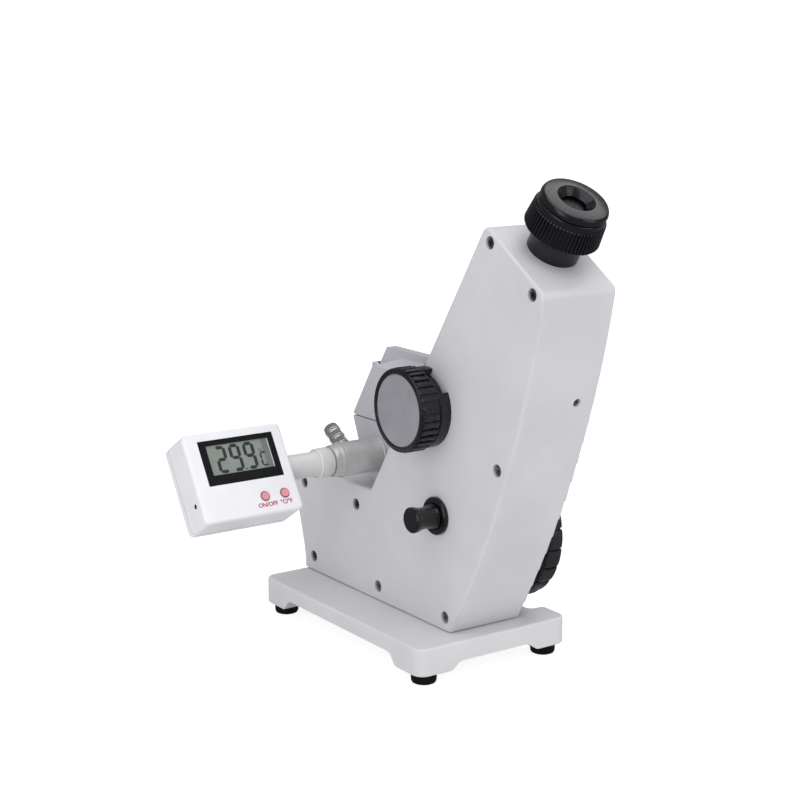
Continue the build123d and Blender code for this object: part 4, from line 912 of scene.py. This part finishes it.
def cover_screw_places():
    """Centres of the cover screws, read from the frame's own screws, in (y, z)."""
    face_depth = 2 * MM
    one_screw = 6.5 * MM
    vertices = frame["nodes"]["cover_screws"].data.vertices
    low = min(vert.co.x for vert in vertices)
    groups = []
    for vert in vertices:
        if vert.co.x > low + face_depth:
            continue
        spot = Vector((vert.co.y, vert.co.z))
        for group in groups:
            if (group[0] - spot).length < one_screw:
                group.append(spot)
                break
        else:
            groups.append([spot])
    places = []
    for group in groups:
        ys = [spot.x for spot in group]
        zs = [spot.y for spot in group]
        places.append(((min(ys) + max(ys)) / 2 / MM, (min(zs) + max(zs)) / 2 / MM))
    return places


def cover_screw_heads():
    """The cover's screws, each at its own turn, sunk in the cover plate."""
    wall_x = box_mm("cover_plate")[0].x
    place = stand(Vector((wall_x + SCREW_DEPTH - SCREW_HEIGHT, 0, 0)) * MM, LEFT, REAR)
    # The stand's X runs along Y; its Y runs down, because its Z runs to the left
    flip = place.to_3x3().inverted()
    points = bmesh.new()
    for y, z in cover_screw_places():
        local = flip @ Vector((0, y, z))
        points.verts.new((local.x, local.y, 0.0))
    shape = mesh_object("screw_shape", screw_shape())
    work = run_tree(mesh_object("screw_points", points), scatter_tree(screw_steel),
                    {"Screw": shape, "Turn Seed": 7})
    heads = finish_mesh("cover_screw_heads", work, place, screw_steel, CRISP_BEND)
    bpy.data.objects.remove(shape)
    stand_for(heads, "frame", "cover_screws", slot="screw_steel")


cover_screw_heads()


# Display head

head_normal = -Vector(joints["power_press"]["axis"])
head_line = Vector(joints["thermometer_turn"]["pos_m"])
case_left = box_mm("display_case_front")[0].x
head_place = stand(Vector((case_left * MM, head_line.y, head_line.z)), head_normal, RIGHT)
film_top = CASE_FRONT - GLASS_SUNK


def mark(name, work, material):
    """Finish a mark of the display head, which turns with it: print, or painted shade and
    highlight.
    """
    ride_with(finish_mesh(name, work, head_place, material, CRISP_BEND), "thermometer")


def segment(work, start, end, width):
    """One bar of a seven-segment digit, pointed at both ends."""
    a, b = Vector(start), Vector(end)
    along = (b - a).normalized()
    side = Vector((-along.y, along.x)) * width / 2
    gap = along * SEGMENT_GAP
    a, b = a + gap, b - gap
    outline = [a, a + along * width / 2 + side, b - along * width / 2 + side, b,
               b - along * width / 2 - side, a + along * width / 2 - side]
    solid(work, [[work.verts.new((p.x, p.y, lift)) for p in outline]
                 for lift in (film_top, film_top + SEGMENT_THICK)])


SEGMENTS = {"2": "abged", "9": "abfgcd", "C": "afed"}


def digit(work, char, left, base, wide, high, stroke):
    """One seven-segment character, its lower left corner at this place."""
    right = left + wide
    middle = base + high / 2
    top = base + high
    ends = {
        "a": ((left, top), (right, top)),
        "b": ((right, top), (right, middle)),
        "c": ((right, middle), (right, base)),
        "d": ((right, base), (left, base)),
        "e": ((left, base), (left, middle)),
        "f": ((left, middle), (left, top)),
        "g": ((left, middle), (right, middle)),
    }
    for name in SEGMENTS[char]:
        segment(work, *ends[name], stroke)


def strip(name, left, right, low, high, lift, material):
    """A flat strip of painted shade or painted highlight on the display glass."""
    work = bmesh.new()
    bmesh.ops.create_cube(work, size=1.0)
    work.transform(Matrix.Diagonal((right - left, high - low, MARK_THICK, 1.0)))
    work.transform(Matrix.Translation(((left + right) / 2, (low + high) / 2,
                                       lift + MARK_THICK / 2)))
    mark(name, work, material)


def display_reading():
    """The reading on the glass: three digits, a point, a degree ring and a C, and painted shade
    and a painted highlight at the glass's right edge.
    """
    work = bmesh.new()
    low = CASE_ABOVE - GLASS_BOTTOM
    high = CASE_ABOVE - GLASS_TOP
    base = low + 1.4
    for char, left in (("2", 15.8), ("9", 23.4), ("9", 31.0)):
        digit(work, char, left, base, wide=4.3, high=12.0, stroke=1.65)
    segment(work, (28.75, base - 0.15), (29.95, base - 0.15), width=1.0)
    digit(work, "C", 38.6, base + 0.2, wide=3.1, high=6.4, stroke=0.85)
    degree_across, degree_up, degree_radius = 39.0, base + 8.0, 0.75
    for turn in range(6):
        start, end = [(degree_across + degree_radius * math.cos(angle),
                       degree_up + degree_radius * math.sin(angle))
                      for angle in (math.radians(60 * turn), math.radians(60 * turn + 60))]
        segment(work, start, end, width=0.5)
    mark("display_reading", work, lcd_segment)
    # The painted shade lies a little lower, so that the C stays on top of it
    strip("glass_edge_shade", 40.6, 44.1, low, high, film_top - 0.02, lcd_shade)
    # A thin painted highlight on the glass's edge, beside the painted shade
    strip("glass_edge_light", 44.1, 44.45, low, high, film_top, lcd_edge_highlight)


display_reading()


def label(name, words, across):
    """Generic words printed below a button, as a thin raised mesh."""
    half_thick = 0.02
    curve = bpy.data.curves.new(name, "FONT")
    curve.body = words
    curve.align_x = "CENTER"
    curve.align_y = "CENTER"
    curve.size = LABEL_HEIGHT
    curve.extrude = half_thick
    # Thicker strokes, as in the photograph
    curve.offset = 0.09
    curve.resolution_u = 3
    text = linked(name, curve)
    depsgraph = bpy.context.evaluated_depsgraph_get()
    mesh = bpy.data.meshes.new_from_object(text.evaluated_get(depsgraph))
    work = bmesh.new()
    work.from_mesh(mesh)
    bpy.data.objects.remove(text)
    work.transform(Matrix.Translation((across, CASE_ABOVE - LABEL_DOWN, CASE_FRONT + half_thick)))
    mark(name, work, pink_ink)


label("power_label", "ON/OFF", POWER_LABEL_ACROSS)
label("unit_label", "°C/°F", UNIT_LABEL_ACROSS)


def ring_mark(name, matrix, inner, outer, material):
    """A thin flat ring, such as the painted shade round a button; an inner radius of zero makes a
    disc.
    """
    profile = [(inner, 0.0), (outer, 0.0), (outer, MARK_THICK), (inner, MARK_THICK)]
    ring = turned_piece(name, profile, matrix, material, steps=48)
    ride_with(ring, "thermometer")


def case_details():
    """Painted shade round the buttons and along the seam of the shell, and the socket in the left
    wall.
    """
    for name in ("power_button", "unit_button"):
        low, high = box_mm(name)
        across = (low.x + high.x) / 2 - case_left
        up = CASE_ABOVE - BUTTON_DOWN
        spot = head_place @ Matrix.Translation(Vector((across, up, CASE_FRONT)) * MM)
        inner, outer = BUTTON_RADIUS + 2 * SKIN, BUTTON_RADIUS + BUTTON_SHADE_WIDTH
        # A ring of painted shade in the clearance round each button
        ring_mark(name + "_gap", spot, inner, outer, button_gap)
    hole = head_place @ Vector((0, (CASE_ABOVE - HOLE_DOWN) * MM, HOLE_OUT * MM))
    ring_mark("socket_rim", stand(hole, LEFT, REAR), 0.0, HOLE_RIM, knob_plastic)
    # A band of painted shade along the seam, sunk in the shell and standing out by a skin
    sunk, out = -0.1, SKIN
    band = ((sunk, 0.0), (out, 0.0), (out, SEAM_WIDTH), (sunk, SEAM_WIDTH))
    work = bmesh.new()
    rows = [[work.verts.new((x, y, CASE_SEAM + along)) for x, y in rounded_outline(reach)]
            for reach, along in band]
    walls(work, rows + rows[:1])
    mark("case_seam", work, gap_shade)


def rounded_outline(reach):
    """The case's outline seen from its front, grown by a small reach."""
    left = CASE_ROUND
    right = CASE_WIDTH - CASE_ROUND
    top = CASE_ABOVE - CASE_ROUND
    low = CASE_ABOVE - CASE_HEIGHT + CASE_ROUND
    steps = 6
    points = []
    for quarter, (x, y) in enumerate(((right, top), (left, top), (left, low), (right, low))):
        for i in range(steps + 1):
            angle = math.pi / 2 * (quarter + i / steps)
            points.append((x + (CASE_ROUND + reach) * math.cos(angle),
                           y + (CASE_ROUND + reach) * math.sin(angle)))
    return points


case_details()


# Stage, camera and light

def stage():
    """A pale floor: almost white to the camera, matt in the light, dim in reflections."""
    glow_share = 0.62
    bpy.ops.mesh.primitive_plane_add(size=6.0, location=(0, 0, 0))
    floor = bpy.context.object
    floor.name = "floor"
    material = bpy.data.materials.new("pale_floor")
    material.use_nodes = True
    tree = material.node_tree
    tree.nodes.clear()
    matt = add(tree, "ShaderNodeBsdfDiffuse", None, {"Color": linear("F4F4F4")})
    glow = add(tree, "ShaderNodeEmission", None, {"Color": linear("FFFFFF"), "Strength": 1.4})
    dim = add(tree, "ShaderNodeEmission", None, {"Color": linear("FFFFFF"), "Strength": 0.22})
    rays = add(tree, "ShaderNodeLightPath")
    share = add(tree, "ShaderNodeMath", {0: rays.outputs["Is Camera Ray"]}, {1: glow_share},
                operation="MULTIPLY")
    lit = add(tree, "ShaderNodeMixShader",
              {"Fac": rays.outputs["Is Glossy Ray"], 1: matt.outputs["BSDF"],
               2: dim.outputs["Emission"]})
    seen = add(tree, "ShaderNodeMixShader",
               {"Fac": share.outputs[0], 1: lit.outputs["Shader"], 2: glow.outputs["Emission"]})
    add(tree, "ShaderNodeOutputMaterial", {"Surface": seen.outputs["Shader"]})
    floor.data.materials.append(material)


stage()


def world_light():
    """White to the camera, an even room for matt surfaces, a dimmer one in reflections."""
    world = bpy.data.worlds.new("studio")
    bpy.context.scene.world = world
    world.use_nodes = True
    tree = world.node_tree
    tree.nodes.clear()
    rays = add(tree, "ShaderNodeLightPath")
    room, mirrored, white = [
        add(tree, "ShaderNodeBackground", None, {"Color": linear(code), "Strength": strength})
        for code, strength in (("F5F4F6", 0.81), ("F2F4F8", 0.26), ("FFFFFF", 1.0))]
    lit = add(tree, "ShaderNodeMixShader",
              {"Fac": rays.outputs["Is Glossy Ray"], 1: room.outputs["Background"],
               2: mirrored.outputs["Background"]})
    seen = add(tree, "ShaderNodeMixShader",
               {"Fac": rays.outputs["Is Camera Ray"], 1: lit.outputs["Shader"],
                2: white.outputs["Background"]})
    add(tree, "ShaderNodeOutputWorld", {"Surface": seen.outputs["Shader"]})


world_light()


def area_light(name, place, target, size, watts):
    """A soft box, its place and target counted from the middle of the base, in metres."""
    light = bpy.data.lights.new(name, "AREA")
    light.shape = "RECTANGLE"
    light.size, light.size_y = size
    light.energy = watts
    lamp = linked(name, light)
    lamp.location = base_middle + Vector(place)
    lamp.rotation_mode = "QUATERNION"
    lamp.rotation_quaternion = (Vector(target) - Vector(place)).to_track_quat("-Z", "Y")


area_light("overhead_softbox", (-0.2, -0.35, 1.05), (0, 0, 0.08), size=(1.0, 1.0), watts=4.2)
area_light("front_left_softbox", (-1.0, -0.55, 0.4), (0, 0, 0.08), size=(0.6, 0.8), watts=2.7)
area_light("right_fill", (0.5, -1.1, 0.5), (0, 0, 0.12), size=(0.6, 0.8), watts=1.8)
area_light("top_right_softbox", (0.62, 0.05, 1.05), (0, -0.08, 0.2), size=(0.5, 0.5), watts=1.5)


def camera():
    """The photograph's camera, solved from the outlines in it."""
    data = bpy.data.cameras.new("photo_camera")
    data.lens = CAMERA_LENS
    data.sensor_width = CAMERA_SENSOR
    data.clip_start = 0.02
    data.clip_end = 30
    eye = linked("photo_camera", data)
    a, e = CAMERA_AZIMUTH, CAMERA_ELEVATION
    back = Vector((math.sin(a) * math.cos(e), -math.cos(a) * math.cos(e), math.sin(e)))
    eye.location = base_middle + CAMERA_PLACE
    eye.rotation_mode = "QUATERNION"
    eye.rotation_quaternion = (-back).to_track_quat("-Z", "Y")
    bpy.context.scene.camera = eye


camera()
bpy.context.scene.view_settings.view_transform = "Standard"
